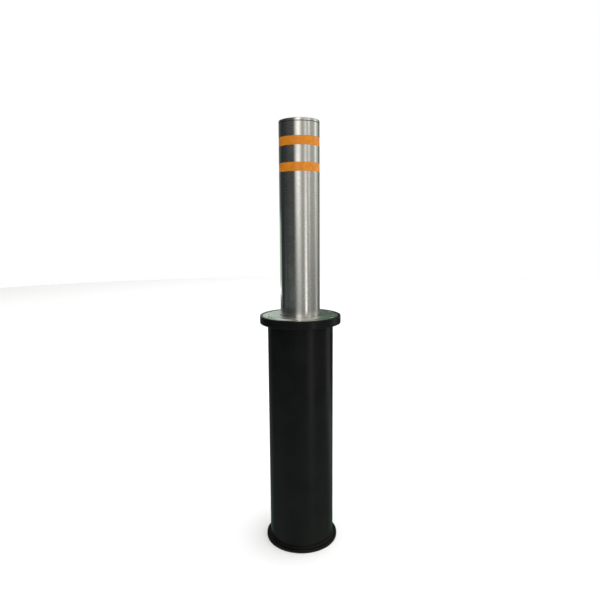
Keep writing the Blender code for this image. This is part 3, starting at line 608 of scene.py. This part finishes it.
@material("orange_tape_finish")
def orange_tape(tree, shader):
    """Orange reflective sheeting: sealed cells under a clear glossy face."""
    post = bpy.context.scene.bollard_post
    place = use(tree, round_place)
    cells = use(tree, honeycomb, Along=calc(tree, "MULTIPLY", place["Angle"], POST_R),
                Up=place["Height"], Cells_per_metre=1.0 / post.cell)
    speck = noise(tree, object_place(tree), 60.0, 4.0)
    base = mix_colour(tree, ramp(tree, speck, 0.3, 0.7), scaled(post.tape, 0.78), tuple(post.tape))
    seal = (min(1.0, post.tape[0] * 1.12), post.tape[1] * 1.35, post.tape[2] * 1.6)
    base = mix_colour(tree, calc(tree, "MULTIPLY", cells["Line"], 0.55), base, seal)
    fill(tree, shader, {"Base Color": base,
                        "Roughness": calc(tree, "MULTIPLY_ADD", cells["Line"], 0.12, 0.30),
                        "Specular IOR Level": 0.2, "Coat Weight": 0.16, "Coat Roughness": 0.06,
                        "Normal": bump(tree, cells["Dome"], 0.0002, 0.35)})


@material("rubber_finish")
def rubber(tree, shader):
    """Matte moulded rubber, a little chalky."""
    grains = noise(tree, object_place(tree), 900.0, 2.0)
    cloud = use(tree, orange_peel, Scale=200.0)["Cloud"]
    fill(tree, shader, {"Base Color": mix_colour(tree, cloud, (0.012, 0.012, 0.012),
                                                 (0.024, 0.023, 0.022)),
                        "Roughness": calc(tree, "MULTIPLY_ADD", grains, 0.2, 0.6),
                        "Normal": bump(tree, grains, 0.00005, 0.6)})


@material("ivory_polymer_finish")
def polymer(tree, shader):
    """Turned ivory acetal."""
    place = use(tree, round_place)
    lines = use(tree, turned_grain, Direction=place["Direction"], Across=place["Height"],
                Width=0.0008, Turns=3.0)["Lines"]
    fill(tree, shader, {"Base Color": mix_colour(tree, lines, (0.56, 0.52, 0.42),
                                                 (0.64, 0.60, 0.50)),
                        "Roughness": calc(tree, "MULTIPLY_ADD", lines, 0.12, 0.36),
                        "Normal": bump(tree, lines, 0.00004, 0.5)})


@material("zinc_steel_finish")
def plated_steel(tree, shader):
    """Zinc-plated steel with a mottled passivated skin."""
    cloud = noise(tree, object_place(tree), 38.0, 6.0, 0.65)
    flakes = put(tree, "ShaderNodeTexVoronoi",
                 {"Vector": object_place(tree), "Scale": 420.0}).outputs["Distance"]
    blur = calc(tree, "MULTIPLY_ADD", flakes, 0.12, 0.30)
    fill(tree, shader, {"Base Color": mix_colour(tree, ramp(tree, cloud, 0.35, 0.7),
                                                 (0.50, 0.51, 0.53), (0.62, 0.60, 0.54)),
                        "Roughness": calc(tree, "MULTIPLY_ADD", cloud, 0.12, blur),
                        "Metallic": 1.0, "Normal": bump(tree, cloud, 0.00003, 0.4)})


@material("chromed_rod_finish")
def chrome(tree, shader):
    """Hard chrome with a few wiping marks along the rod."""
    marks = use(tree, smudges)["Value"]
    fill(tree, shader, {"Base Color": mix_colour(tree, marks, (0.80, 0.80, 0.80),
                                                 (0.70, 0.69, 0.66)),
                        "Roughness": calc(tree, "MULTIPLY_ADD", marks, 0.12, 0.06),
                        "Metallic": 1.0})


@material("brass_finish")
def brass(tree, shader):
    """Turned brass around the lock's axis."""
    place = use(tree, round_place, Centre=(*middle("lock_barrel"), 0.0))
    lines = use(tree, turned_grain, Direction=place["Direction"], Across=place["Radius"],
                Width=0.0003, Turns=2.0)["Lines"]
    fill(tree, shader, {"Base Color": mix_colour(tree, lines, (0.58, 0.38, 0.13),
                                                 (0.74, 0.52, 0.22)),
                        "Roughness": calc(tree, "MULTIPLY_ADD", lines, 0.1, 0.22),
                        "Metallic": 1.0})


SLOT_FINISHES = {
    "brushed_stainless": post_steel,
    "black_coat": black_coat,
    "orange_tape": orange_tape,
    "zinc_steel": plated_steel,
    "chromed_rod": chrome,
    "black_rubber": rubber,
    "ivory_polymer": polymer,
    "brass": brass,
}


# ---------------------------------------------------------------- operators
class BOLLARD_OT_carried_nodes(bpy.types.Operator):
    """Give every CAD node the finish of its material slot"""

    bl_idname = "bollard.carried_nodes"
    bl_label = "Finishes on CAD nodes"

    def execute(self, context):
        for name, node in frame["nodes"].items():
            node.data.materials.clear()
            node.data.materials.append(SLOT_FINISHES[NODE_SLOTS[name]]())
        return {"FINISHED"}


class BOLLARD_OT_post_tube(bpy.types.Operator):
    """Build the brushed post tube with its tape grooves"""

    bl_idname = "bollard.post_tube"
    bl_label = "Post tube"

    def execute(self, context):
        made = context.scene.bollard_post
        top, low = POST_HIGH[2], POST_LOW[2]
        inner = POST_R - made.wall
        floor = POST_R - made.groove
        corners = [(POST_R, top)]
        radii = [made.seam]
        for node in TAPES:
            below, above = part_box(node)
            high, deep = above[2] + GAP, below[2] - GAP
            corners += [(POST_R, high), (floor, high), (floor, deep), (POST_R, deep)]
            radii += [made.edge / 2] * 4
        corners += [(POST_R, low), (inner, low), (inner, top)]
        radii += [made.edge] * 3
        turned_piece("post_shell", corners, radii, 160, "post_tube")
        return {"FINISHED"}


class BOLLARD_OT_head_cap(bpy.types.Operator):
    """Build the rounded cap with its off-centre hole for the lock barrel"""

    bl_idname = "bollard.head_cap"
    bl_label = "Head cap"

    def execute(self, context):
        made = context.scene.bollard_post
        columns = 160
        top, low = CAP_HIGH[2], CAP_LOW[2]
        side = top - made.cap_round
        joint = POST_HIGH[2] + GAP
        flat = POST_R - made.cap_round
        spigot = POST_R - made.wall - GAP
        off = middle("lock_barrel")[0]
        lip = 0.0006
        arc = np.linspace(math.pi / 2, 0.0, 9)
        rim = np.stack([flat + made.cap_round * np.cos(arc), side + made.cap_round * np.sin(arc)],
                       axis=1)
        seam = np.array([(POST_R, joint + 1.4 * made.seam), (POST_R, joint + made.seam),
                         (POST_R - made.seam, joint), (spigot + 0.0004, joint),
                         (spigot, joint - 0.0004), (spigot, low + 0.0005), (spigot - 0.0005, low)])
        # The top's rows slide from circles about the hole to circles about the post.
        share_out = np.linspace(0.0, 1.0, 9)[1:-1]
        spread = made.hole + lip + (flat - made.hole - lip) * share_out
        bend = np.linspace(math.pi, math.pi / 2, 5)
        edge = np.stack([made.hole + lip + lip * np.cos(bend), top - lip + lip * np.sin(bend)],
                        axis=1)
        top_rows = np.stack([spread, np.full_like(spread, top)], axis=1)
        under = np.stack([spread[::-1], np.full_like(spread, low)], axis=1)
        profile = np.concatenate([edge, top_rows, rim, seam, under,
                                  [(made.hole + 0.0004, low), (made.hole, low + 0.0004)]])
        centre = np.concatenate([np.full(len(edge), off), off * (1 - share_out),
                                 np.zeros(len(rim) + len(seam)), off * (1 - share_out[::-1]),
                                 np.full(2, off)])
        mask = np.concatenate([np.ones(len(edge)), np.zeros(len(profile) - len(edge))])
        grid = swept(profile, columns)
        grid[:, :, 0] += centre[:, None]
        # The joint brings the painted shade line along the cap seam
        steel = brushed_steel("cap_steel", 0.27, 0.7, joint=joint)
        grid_piece("cap_shell", grid, "head_cap", steel, mask=mask)
        return {"FINISHED"}


class BOLLARD_OT_tapes(bpy.types.Operator):
    """Build the two orange reflective tapes, each lapped at the back"""

    bl_idname = "bollard.tapes"
    bl_label = "Reflective tapes"

    def execute(self, context):
        made = context.scene.bollard_post
        columns = 320
        for i, node in enumerate(TAPES):
            low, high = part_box(node)
            outer = high[0]
            inner = POST_R - made.groove + GAP
            corners = [(outer, high[2]), (outer, low[2]), (inner, low[2]), (inner, high[2])]
            profile, mask = rounded_profile(corners, 0.00018, 4)
            grid = swept(profile, columns)
            # Radius grows by the swell towards the middle height, and by the lap near one angle.
            lap_start = math.radians(118 + 14 * i)
            lap_slope = 0.0006
            ahead = (angles(columns) - lap_start) % (2 * math.pi) * POST_R
            lap = np.clip(np.minimum(ahead, made.tape_lap - ahead) / lap_slope, 0.0, 1.0)
            half = (high[2] - low[2]) / 2
            rise = 1 - np.abs((grid[:, :, 2] - (low[2] + half)) / half) ** 6
            outside = np.hypot(grid[:, :, 0], grid[:, :, 1]) > (inner + outer) / 2
            grow = outside * (made.tape_swell * lap[None, :] * 0.9 - made.tape_swell * (1 - rise))
            grid[:, :, :2] *= (1 + grow / outer)[:, :, None]
            grid_piece(f"{node}_face", grid, node, mask=mask)
        return {"FINISHED"}


class BOLLARD_OT_key_lock(bpy.types.Operator):
    """Build the key barrel, the swinging key cover and its rivet"""

    bl_idname = "bollard.key_lock"
    bl_label = "Key lock"

    def execute(self, context):
        self.make_barrel(context)
        self.make_cover(context)
        self.make_rivet(context)
        return {"FINISHED"}

    def make_barrel(self, context):
        """Rows morph from a point to the socket's hexagon, then to circles down the outside."""
        made = context.scene.bollard_post
        columns = 96
        centre = middle("lock_barrel")
        top, low = BARREL_HIGH[2], BARREL_LOW[2]
        flange = BARREL_HIGH[0] - centre[0]
        barrel = flange - 0.003
        seat = low + 0.004
        hexagon = polygon_radius(angles(columns), 6, made.key_hex)
        socket = top - made.key_depth
        rows = [(hexagon * 0.25, socket - 0.0015), (hexagon * 0.9, socket),
                (hexagon, socket + 0.0004), (hexagon, top - 0.0006),
                (hexagon * 1.01 + 0.0002, top - 0.0002), (hexagon * 1.02 + 0.0005, top),
                (barrel - 0.0012, top), (barrel - 0.0007, top), (barrel - 0.0002, top - 0.0002),
                (barrel, top - 0.0007), (barrel, seat + 0.0002), (barrel + 0.0002, seat),
                (flange - 0.0003, seat), (flange, seat - 0.0003), (flange, low + 0.0003),
                (flange - 0.0003, low), (flange * 0.3, low)]
        grid = swept(rows, columns, centre)
        piece = grid_piece("barrel_shell", grid, "lock_barrel", loop=False)
        piece.data.set_sharp_from_angle(angle=CREASE)

    def make_cover(self, context):
        """Outline: an arc about the socket and an arc about the rivet, joined by tangents."""
        low, high = KEY_COVER_LOW, KEY_COVER_HIGH
        disc = (high[0] - low[0]) / 2
        centre = np.array([(low[0] + high[0]) / 2, low[1] + disc])
        pivot = np.array(middle("key_cover_rivet"))
        lug = high[1] - pivot[1]
        reach = pivot[1] - centre[1]
        lean = math.asin((disc - lug) / reach)
        small = np.linspace(lean, math.pi - lean, 24)
        large = np.linspace(math.pi - lean, 2 * math.pi + lean, 72)
        small_arc = pivot + lug * np.stack([np.cos(small), np.sin(small)], axis=1)
        large_arc = centre + disc * np.stack([np.cos(large), np.sin(large)], axis=1)
        outline = np.concatenate([small_arc, large_arc])
        heart = centre + (pivot - centre) * 0.35
        # Rows shrink the outline towards its heart with a small rounded shoulder above.
        top, bottom = high[2], low[2]
        round_off = 0.0008
        bend = np.linspace(0.0, math.pi / 2, 6)
        inset = np.concatenate([[disc * 0.55, 0.0022], round_off * (1 - np.sin(bend[::-1])),
                                [0.0, 0.0003, 0.003]])
        height = np.concatenate([[top, top], top - round_off * (1 - np.cos(bend[::-1])),
                                 [bottom + 0.0003, bottom, bottom]])
        away = outline - heart
        distance = np.linalg.norm(away, axis=1)
        shrink = 1 - inset[:, None] / distance[None, :]
        flat = heart + away[None] * shrink[:, :, None]
        level = np.broadcast_to(height[:, None, None], (*flat.shape[:2], 1))
        grid = np.concatenate([flat, level], axis=2)
        steel = brushed_steel("key_cover_steel", 0.26, 0.5, flat=True, centre=tuple(centre))
        piece = grid_piece("key_cover_plate", grid, "key_cover", steel, loop=False)
        piece.data.set_sharp_from_angle(angle=CREASE)

    def make_rivet(self, context):
        """A low dome on a shank."""
        centre = middle("key_cover_rivet")
        radius = RIVET_HIGH[0] - centre[0]
        top = RIVET_HIGH[2]
        seat = KEY_COVER_HIGH[2] + GAP
        bend = np.linspace(0.12, 1.0, 7)
        dome = np.stack([radius * bend, seat + (top - seat) * np.sqrt(1 - 0.92 * bend ** 2)], axis=1)
        shank = np.array([(radius, seat + 0.0002), (radius - 0.0002, seat), (radius / 2, seat),
                          (radius / 2, RIVET_LOW[2] + 0.0005), (radius / 2 - 0.0005, RIVET_LOW[2])])
        profile = np.concatenate([dome, shank])
        steel = brushed_steel("rivet_steel", 0.2, 0.3, flat=True, centre=centre, width=0.0003)
        grid = swept(profile, 64, centre)
        grid_piece("rivet_shell", grid, "key_cover_rivet", steel, loop=False)


class BOLLARD_OT_collar(bpy.types.Operator):
    """Build the black head collar with its rim, seat and ledge"""

    bl_idname = "bollard.collar"
    bl_label = "Head collar"

    def execute(self, context):
        made = context.scene.bollard_head
        top, low = COLLAR_HIGH[2], COLLAR_LOW[2]
        outer = COLLAR_HIGH[0]
        seat = COVER_LOW[2] - GAP
        rim = outer - made.rim
        socket = CASING_HIGH[0] + GAP
        ledge = CASING_HIGH[2] + GAP
        flange = BUSH_HIGH[0] + GAP
        flange_room = 0.01  # height of the recess for the bush's flange
        bush_wall = 0.0064  # from the wiper's outside to the hole that the bush stands in
        flange_seat = seat - flange_room
        bush = WIPER_HIGH[0] + bush_wall
        corners = [(rim, top), (outer, top), (outer, low), (socket, low), (socket, ledge),
                   (bush, ledge), (bush, flange_seat), (flange, flange_seat), (flange, seat),
                   (rim, seat)]
        edge = made.collar_edge
        radii = [0.0009, edge, edge, 0.001, 0.0004, 0.0006, 0.0004, 0.0003, 0.0004, 0.0003]
        turned_piece("collar_shell", corners, radii, 192, "head_collar")
        return {"FINISHED"}


class BOLLARD_OT_cover_plate(bpy.types.Operator):
    """Build the stainless cover plate and its countersunk screws"""

    bl_idname = "bollard.cover_plate"
    bl_label = "Cover plate"

    def execute(self, context):
        made = context.scene.bollard_head
        top, low = COVER_HIGH[2], COVER_LOW[2]
        outer = COVER_HIGH[0]
        band = top - made.band_drop
        inner = POST_R + made.bore
        band_in = outer - made.band
        corners = [(inner, top), (band_in - made.bevel, top), (band_in, band), (outer, band),
                   (outer, low), (inner, low)]
        radii = [0.0008, 0.0008, 0.0006, 0.0010, 0.0004, 0.0005]
        plate = turned_piece("cover_shell", corners, radii, 192, "cover_plate", cover_steel())
        sink = made.screw_head + 0.0010
        narrow = made.screw_shank + GAP
        sides = 50  # out of step with the plate's columns, where 48 left slivers
        cutters = []
        for node in COVER_SCREWS:
            profile = np.array([(sink + 0.0031, band + 0.0031), (narrow, band - sink + narrow),
                                (narrow, low - 0.004)])
            cone = swept(profile, sides, middle(node))
            cutters.append(grid_piece(f"{node}_sink", cone, loop=False))
        carve(plate, cutters)
        for node in COVER_SCREWS:
            self.make_screw(context, node, band)
        return {"FINISHED"}

    def make_screw(self, context, node, band):
        """Countersunk screw: rows morph from a hexagon socket to the head and the shank."""
        made = context.scene.bollard_head
        columns = 60
        low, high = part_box(node)
        top = high[2]
        head, shank = made.screw_head, made.screw_shank
        spin = 0.37 * (COVER_SCREWS.index(node) + 1)  # each screw stopped at another angle
        hexagon = polygon_radius(angles(columns) + spin, 6, made.screw_hex)
        neck = top - head + shank
        rows = [(hexagon * 0.3, top - 0.0034), (hexagon * 0.92, top - 0.003),
                (hexagon, top - 0.0027), (hexagon, top - 0.0005), (hexagon * 1.08, top - 0.0001),
                (hexagon * 1.16, top), (head - 0.0008, top), (head - 0.0003, top - 0.00003),
                (head, top - 0.0002), (head - 0.0001, top - 0.0004), (shank + 0.0002, neck),
                (shank, neck - 0.0003), (shank, low[2] + 0.0006), (shank - 0.0006, low[2])]
        grid = swept(rows, columns, middle(node))
        piece = grid_piece(f"{node}_fine", grid, node, loop=False)
        piece.data.set_sharp_from_angle(angle=CREASE)


class BOLLARD_OT_guides(bpy.types.Operator):
    """Build the guide bush and the wiper seal around the post"""

    bl_idname = "bollard.guides"
    bl_label = "Bush and wiper"

    def execute(self, context):
        top, low = BUSH_HIGH[2], BUSH_LOW[2]
        flange = BUSH_HIGH[0]
        flange_width = 0.0083  # how far the flange stands out from the bush
        flange_height = 0.0094
        clearance = 0.0005  # between the bush and the post
        body = flange - flange_width
        bore = POST_R + clearance
        step = WIPER_LOW[2] - GAP
        wide = WIPER_HIGH[0] + GAP
        under = top - flange_height
        corners = [(flange, top), (flange, under), (body, under), (body, low), (bore, low),
                   (bore, step), (wide, step), (wide, top)]
        radii = [0.0006, 0.0005, 0.0004, 0.001, 0.001, 0.0003, 0.0003, 0.0004]
        turned_piece("bush_shell", corners, radii, 144, "guide_bush")
        lip = POST_R + GAP
        lip_reach = 0.0037  # how far the lip stands in from the wiper's body
        throat = lip + lip_reach
        outer = WIPER_HIGH[0]
        high, deep = WIPER_HIGH[2], WIPER_LOW[2]
        corners = [(outer, high), (outer, deep), (throat, deep), (throat, high - 0.008),
                   (lip, high - 0.004), (lip, high)]
        radii = [0.0006, 0.0005, 0.0008, 0.0015, 0.0004, 0.0010]
        turned_piece("wiper_shell", corners, radii, 144, "wiper_seal")
        return {"FINISHED"}


class BOLLARD_OT_casing(bpy.types.Operator):
    """Build the casing tube, its base flange and the welds at both ends"""

    bl_idname = "bollard.casing"
    bl_label = "Casing"

    def execute(self, context):
        made = context.scene.bollard_casing
        top, low = CASING_HIGH[2], CASING_LOW[2]
        outer = CASING_HIGH[0]
        inner = outer - made.wall
        corners = [(outer, top), (outer, low), (inner, low), (inner, top)]
        turned_piece("casing_shell", corners, 0.0006, 192, "casing_tube")
        self.make_base(context)
        self.make_bead(context, "base_weld", BASE_HIGH[2], 1)
        self.make_bead(context, "collar_weld", COLLAR_LOW[2], -1)
        return {"FINISHED"}

    def make_base(self, context):
        """A disc with an off-centre drain hole."""
        made = context.scene.bollard_casing
        top, low, outer = BASE_HIGH[2], BASE_LOW[2], BASE_HIGH[0]
        corners = [(0.0, top), (outer, top), (outer, low), (0.0, low)]
        radii = [0.0, made.base_edge, 0.0008, 0.0]
        flange = turned_piece("base_shell", corners, radii, 192, "base_flange")
        hole = np.array([(made.drain, top + 0.01), (made.drain, low - 0.01)])
        drill = swept(hole, 64, middle("drain_strainer"))
        carve(flange, [grid_piece("drain_cut", drill, loop=False)])

    def make_bead(self, context, name, level, upward):
        """A fillet weld: a quarter-round in the corner of tube and plate whose leg swells and
        shrinks along the seam as a sum of two waves. Upward is 1, or -1 for a weld that hangs."""
        made = context.scene.bollard_casing
        columns = made.ripples * 6
        turn = angles(columns)
        wave = 1 + made.ripple * (np.cos(made.ripples * turn) + 0.5 * np.cos(7 * turn + upward))
        leg = made.bead * wave
        bend = np.linspace(0.0, math.pi / 2, 7)
        out = np.concatenate([[-0.001], 0.92 * np.sin(bend), [-0.001]])[::upward]
        up = np.concatenate([[0.96], 0.92 * np.cos(bend), [0.02]])[::upward]
        radius = CASING_HIGH[0] + out[:, None] * leg
        height = level + upward * up[:, None] * leg
        grid = np.stack([radius * np.cos(turn), radius * np.sin(turn), height], axis=2)
        settle(grid_piece(name, grid), "casing", (), "black_coat")


# What mirrors see of the studio. Each soft box has its azimuth, half width, soft edge, lowest
# and highest elevation and soft end in degrees, then its colour. Azimuth runs from the front
# towards the right, elevation up from level.
SOFT_BOXES = (
    ((-9.0, 13.0, 12.0, 2.0, 90.0, 9.0), (2.10, 2.06, 1.98)),
    ((-54.0, 24.0, 20.0, 6.0, 90.0, 6.0), (0.06, 0.06, 0.055)),
    ((35.0, 6.0, 4.0, -26.0, 12.0, 9.0), (0.74, 0.73, 0.69)),
    ((35.0, 5.0, 4.0, 8.0, 60.0, 9.0), (0.16, 0.155, 0.15)),
    ((37.5, 5.0, 3.0, -19.0, -9.0, 3.0), (3.00, 2.96, 2.88)),
    ((57.0, 5.0, 3.0, 3.0, 60.0, 8.0), (1.05, 1.03, 0.98)),
    ((105.0, 8.0, 5.0, 4.0, 60.0, 8.0), (1.10, 1.12, 1.05)),
    ((113.0, 7.0, 4.0, -20.0, -9.0, 3.0), (1.10, 1.10, 1.08)),
    ((132.0, 9.0, 5.0, -25.0, -19.0, 2.5), (0.50, 0.52, 0.50)),
    ((-91.0, 4.0, 4.0, -28.0, -3.0, 4.0), (0.10, 0.11, 0.11)),
    ((-140.0, 9.0, 8.0, -30.0, 60.0, 6.0), (0.12, 0.14, 0.14)),
    ((-140.0, 22.0, 12.0, 28.0, 66.0, 10.0), (0.80, 0.84, 0.80)),
    ((-159.0, 7.0, 4.0, -8.0, 13.0, 4.0), (0.30, 0.31, 0.30)),
    ((159.0, 7.0, 4.0, -8.0, 13.0, 4.0), (0.50, 0.52, 0.50)),
    ((150.0, 30.0, 12.0, 12.0, 46.0, 6.0), (0.04, 0.15, 0.07)),
    ((180.0, 50.0, 14.0, -60.0, -24.0, 6.0), (0.03, 0.12, 0.06)),
)


class BOLLARD_OT_stage(bpy.types.Operator):
    """Build the floor, the soft studio light and the camera"""

    bl_idname = "bollard.stage"
    bl_label = "Stage"

    def execute(self, context):
        self.make_floor(context)
        self.make_card(context)
        self.make_light(context)
        self.make_camera(context)
        context.scene.view_settings.view_transform = "Standard"
        return {"FINISHED"}

    def make_floor(self, context):
        """A wide flat disc under the base, left out of mirror images."""
        made = context.scene.bollard_stage
        near, far, top, low = 0.2, 12.0, -0.0004, -0.02
        profile = np.array([(near, top), (far, top), (far, low), (near, low)])
        floor = grid_piece("floor", swept(profile, 96), loop=False)

        @material("floor_finish")
        def matt(tree, shader):
            fill(tree, shader, {"Base Color": tuple(made.floor), "Roughness": 0.9,
                                "Specular IOR Level": 0.1})

        floor.data.materials.append(matt())
        floor.visible_glossy = False

    def make_card(self, context):
        """A pale card behind on the left, seen by mirrors only: a stretch of a cylinder about the
        post, brighter below its foot line."""
        made = context.scene.bollard_stage
        reach = 0.50
        start = COVER_HIGH[2] + 0.03
        foot = COVER_HIGH[2] + 0.052
        turn = np.radians(np.linspace(92.0, 146.0, 19))
        height = np.linspace(start, COVER_HIGH[2] + 0.42, 5)[:, None] + 0 * turn
        points = np.stack([reach * np.cos(turn) + 0 * height, reach * np.sin(turn) + 0 * height,
                           height], axis=2)
        rows, columns = height.shape
        i = np.arange(rows - 1)[:, None] * columns
        j = np.arange(columns - 1)[None, :]
        faces = np.stack([i + j, i + j + 1, i + j + 1 + columns, i + j + columns], axis=2)
        mesh = bpy.data.meshes.new("card")
        mesh.from_pydata(points.reshape(-1, 3).tolist(), [], faces.reshape(-1, 4).tolist())
        card = bpy.data.objects.new("card", mesh)
        context.scene.collection.objects.link(card)

        @material("card_finish")
        def glowing(tree, shader):
            level = split(tree, object_place(tree))[2]
            glow = mix_colour(tree, ramp(tree, level, foot, foot + 0.012), (2.3, 2.4, 2.3),
                              tuple(made.card))
            fill(tree, shader, {"Base Color": (0.0, 0.0, 0.0), "Emission Color": glow,
                                "Emission Strength": 1.0})

        mesh.materials.append(glowing())
        for kind in ("camera", "diffuse", "shadow", "transmission", "volume_scatter"):
            setattr(card, f"visible_{kind}", False)

    def make_light(self, context):
        """The studio as light by direction: what mirrors see, and an even light for the rest."""
        made = context.scene.bollard_stage
        world = bpy.data.worlds.new("studio")
        context.scene.world = world
        world.use_nodes = True
        tree = world.node_tree
        tree.nodes.clear()
        parts = split(tree, put(tree, "ShaderNodeTexCoord").outputs["Generated"])
        back = calc(tree, "MULTIPLY", parts[1], -1.0)
        azimuth = calc(tree, "DEGREES", calc(tree, "ARCTAN2", parts[0], back))
        elevation = calc(tree, "DEGREES", calc(tree, "ARCSINE", parts[2]))

        def soft_box(centre, half, soft, low, high, fade):
            """The masks of one soft box: its width, its foot and its top."""
            away = calc(tree, "SUBTRACT", azimuth, centre)
            away = calc(tree, "ABSOLUTE", calc(tree, "WRAP", away, 180.0, -180.0))
            return (ramp(tree, away, half - soft, half + soft, 1.0, 0.0),
                    ramp(tree, elevation, low - fade, low + fade),
                    ramp(tree, elevation, high - fade, high + fade, 1.0, 0.0))

        def glow(seen, masks, tint):
            """Adds a colour where all the masks are high."""
            mask = functools.reduce(functools.partial(calc, tree, "MULTIPLY"), masks)
            return mix_colour(tree, 1.0, seen, mix_colour(tree, mask, (0.0, 0.0, 0.0), tint), "ADD")

        right_side = (ramp(tree, azimuth, -18.0, 4.0), ramp(tree, azimuth, 128.0, 146.0, 1.0, 0.0),
                      ramp(tree, elevation, -14.0, 4.0, 0.05, 1.0))
        ahead = (ramp(tree, calc(tree, "ABSOLUTE", azimuth), 70.0, 125.0, 1.0, 0.2),
                 ramp(tree, elevation, -23.0, -14.0, 1.0, 0.0))
        ceiling = (ramp(tree, elevation, 50.0, 70.0),)
        seen = glow((0.024, 0.030, 0.030), right_side, (0.58, 0.575, 0.54))
        seen = glow(seen, ahead, (0.46, 0.51, 0.48))
        for place, tint in SOFT_BOXES:
            seen = glow(seen, soft_box(*place), tint)
        seen = glow(seen, ceiling, (0.34, 0.34, 0.325))
        even = calc(tree, "MULTIPLY_ADD", parts[0], made.slant, made.fill)
        even = calc(tree, "ADD", even, ramp(tree, elevation, 25.0, 75.0, 0.0, made.overhead))
        path = put(tree, "ShaderNodeLightPath").outputs
        mirrored = put(tree, "ShaderNodeBackground", {"Color": seen})
        lit = put(tree, "ShaderNodeBackground", {"Color": even})
        plain = put(tree, "ShaderNodeBackground", {"Color": (1.0, 1.0, 1.0)})
        both = put(tree, "ShaderNodeMixShader",
                   {0: path["Is Glossy Ray"], 1: lit.outputs[0], 2: mirrored.outputs[0]})
        every = put(tree, "ShaderNodeMixShader",
                    {0: path["Is Camera Ray"], 1: both.outputs[0], 2: plain.outputs[0]})
        put(tree, "ShaderNodeOutputWorld", {"Surface": every.outputs[0]})

    def make_camera(self, context):
        """Looks along +Y from the given height, tilted down, with its small roll."""
        made = context.scene.bollard_stage
        data = bpy.data.cameras.new("camera")
        data.lens = made.lens
        data.sensor_width = 36.0
        data.clip_start = 0.05
        camera = bpy.data.objects.new("camera", data)
        context.scene.collection.objects.link(camera)
        context.scene.camera = camera
        ahead = Vector((math.sin(made.yaw) * math.cos(made.pitch),
                        math.cos(made.yaw) * math.cos(made.pitch), -math.sin(made.pitch)))
        right = Vector((math.cos(made.yaw), -math.sin(made.yaw), 0.0))
        up = right.cross(ahead)
        across = right * math.cos(made.roll) + up * math.sin(made.roll)
        upright = up * math.cos(made.roll) - right * math.sin(made.roll)
        turn = Matrix((across, upright, -ahead)).transposed()
        camera.matrix_world = Matrix.Translation((0.0, -made.distance, made.eye)) @ turn.to_4x4()


# ---------------------------------------------------------------- panel and registration
STEPS = (BOLLARD_OT_carried_nodes, BOLLARD_OT_post_tube, BOLLARD_OT_head_cap, BOLLARD_OT_tapes,
         BOLLARD_OT_key_lock, BOLLARD_OT_collar, BOLLARD_OT_cover_plate, BOLLARD_OT_guides,
         BOLLARD_OT_casing, BOLLARD_OT_stage)
SETTINGS = {"bollard_post": BollardPostSettings, "bollard_head": BollardHeadSettings,
            "bollard_casing": BollardCasingSettings, "bollard_stage": BollardStageSettings}


class BOLLARD_PT_sidebar(bpy.types.Panel):
    """Lists the settings and the steps that build the bollard"""

    bl_idname = "BOLLARD_PT_sidebar"
    bl_label = "Retractable bollard"
    bl_space_type = "VIEW_3D"
    bl_region_type = "UI"
    bl_category = "Bollard"

    def draw(self, context):
        for name, kind in SETTINGS.items():
            box = self.layout.box()
            for setting in kind.__annotations__:
                box.prop(getattr(context.scene, name), setting)
        for step in STEPS:
            self.layout.operator(step.bl_idname)


def register():
    for name, kind in SETTINGS.items():
        bpy.utils.register_class(kind)
        setattr(bpy.types.Scene, name, bpy.props.PointerProperty(type=kind))
    for step in STEPS:
        bpy.utils.register_class(step)
    bpy.utils.register_class(BOLLARD_PT_sidebar)


def unregister():
    bpy.utils.unregister_class(BOLLARD_PT_sidebar)
    for step in reversed(STEPS):
        bpy.utils.unregister_class(step)
    for name, kind in SETTINGS.items():
        delattr(bpy.types.Scene, name)
        bpy.utils.unregister_class(kind)


def main():
    register()
    for step in STEPS:
        family, name = step.bl_idname.split(".")
        getattr(getattr(bpy.ops, family), name)()


if __name__ == "__main__":
    main()
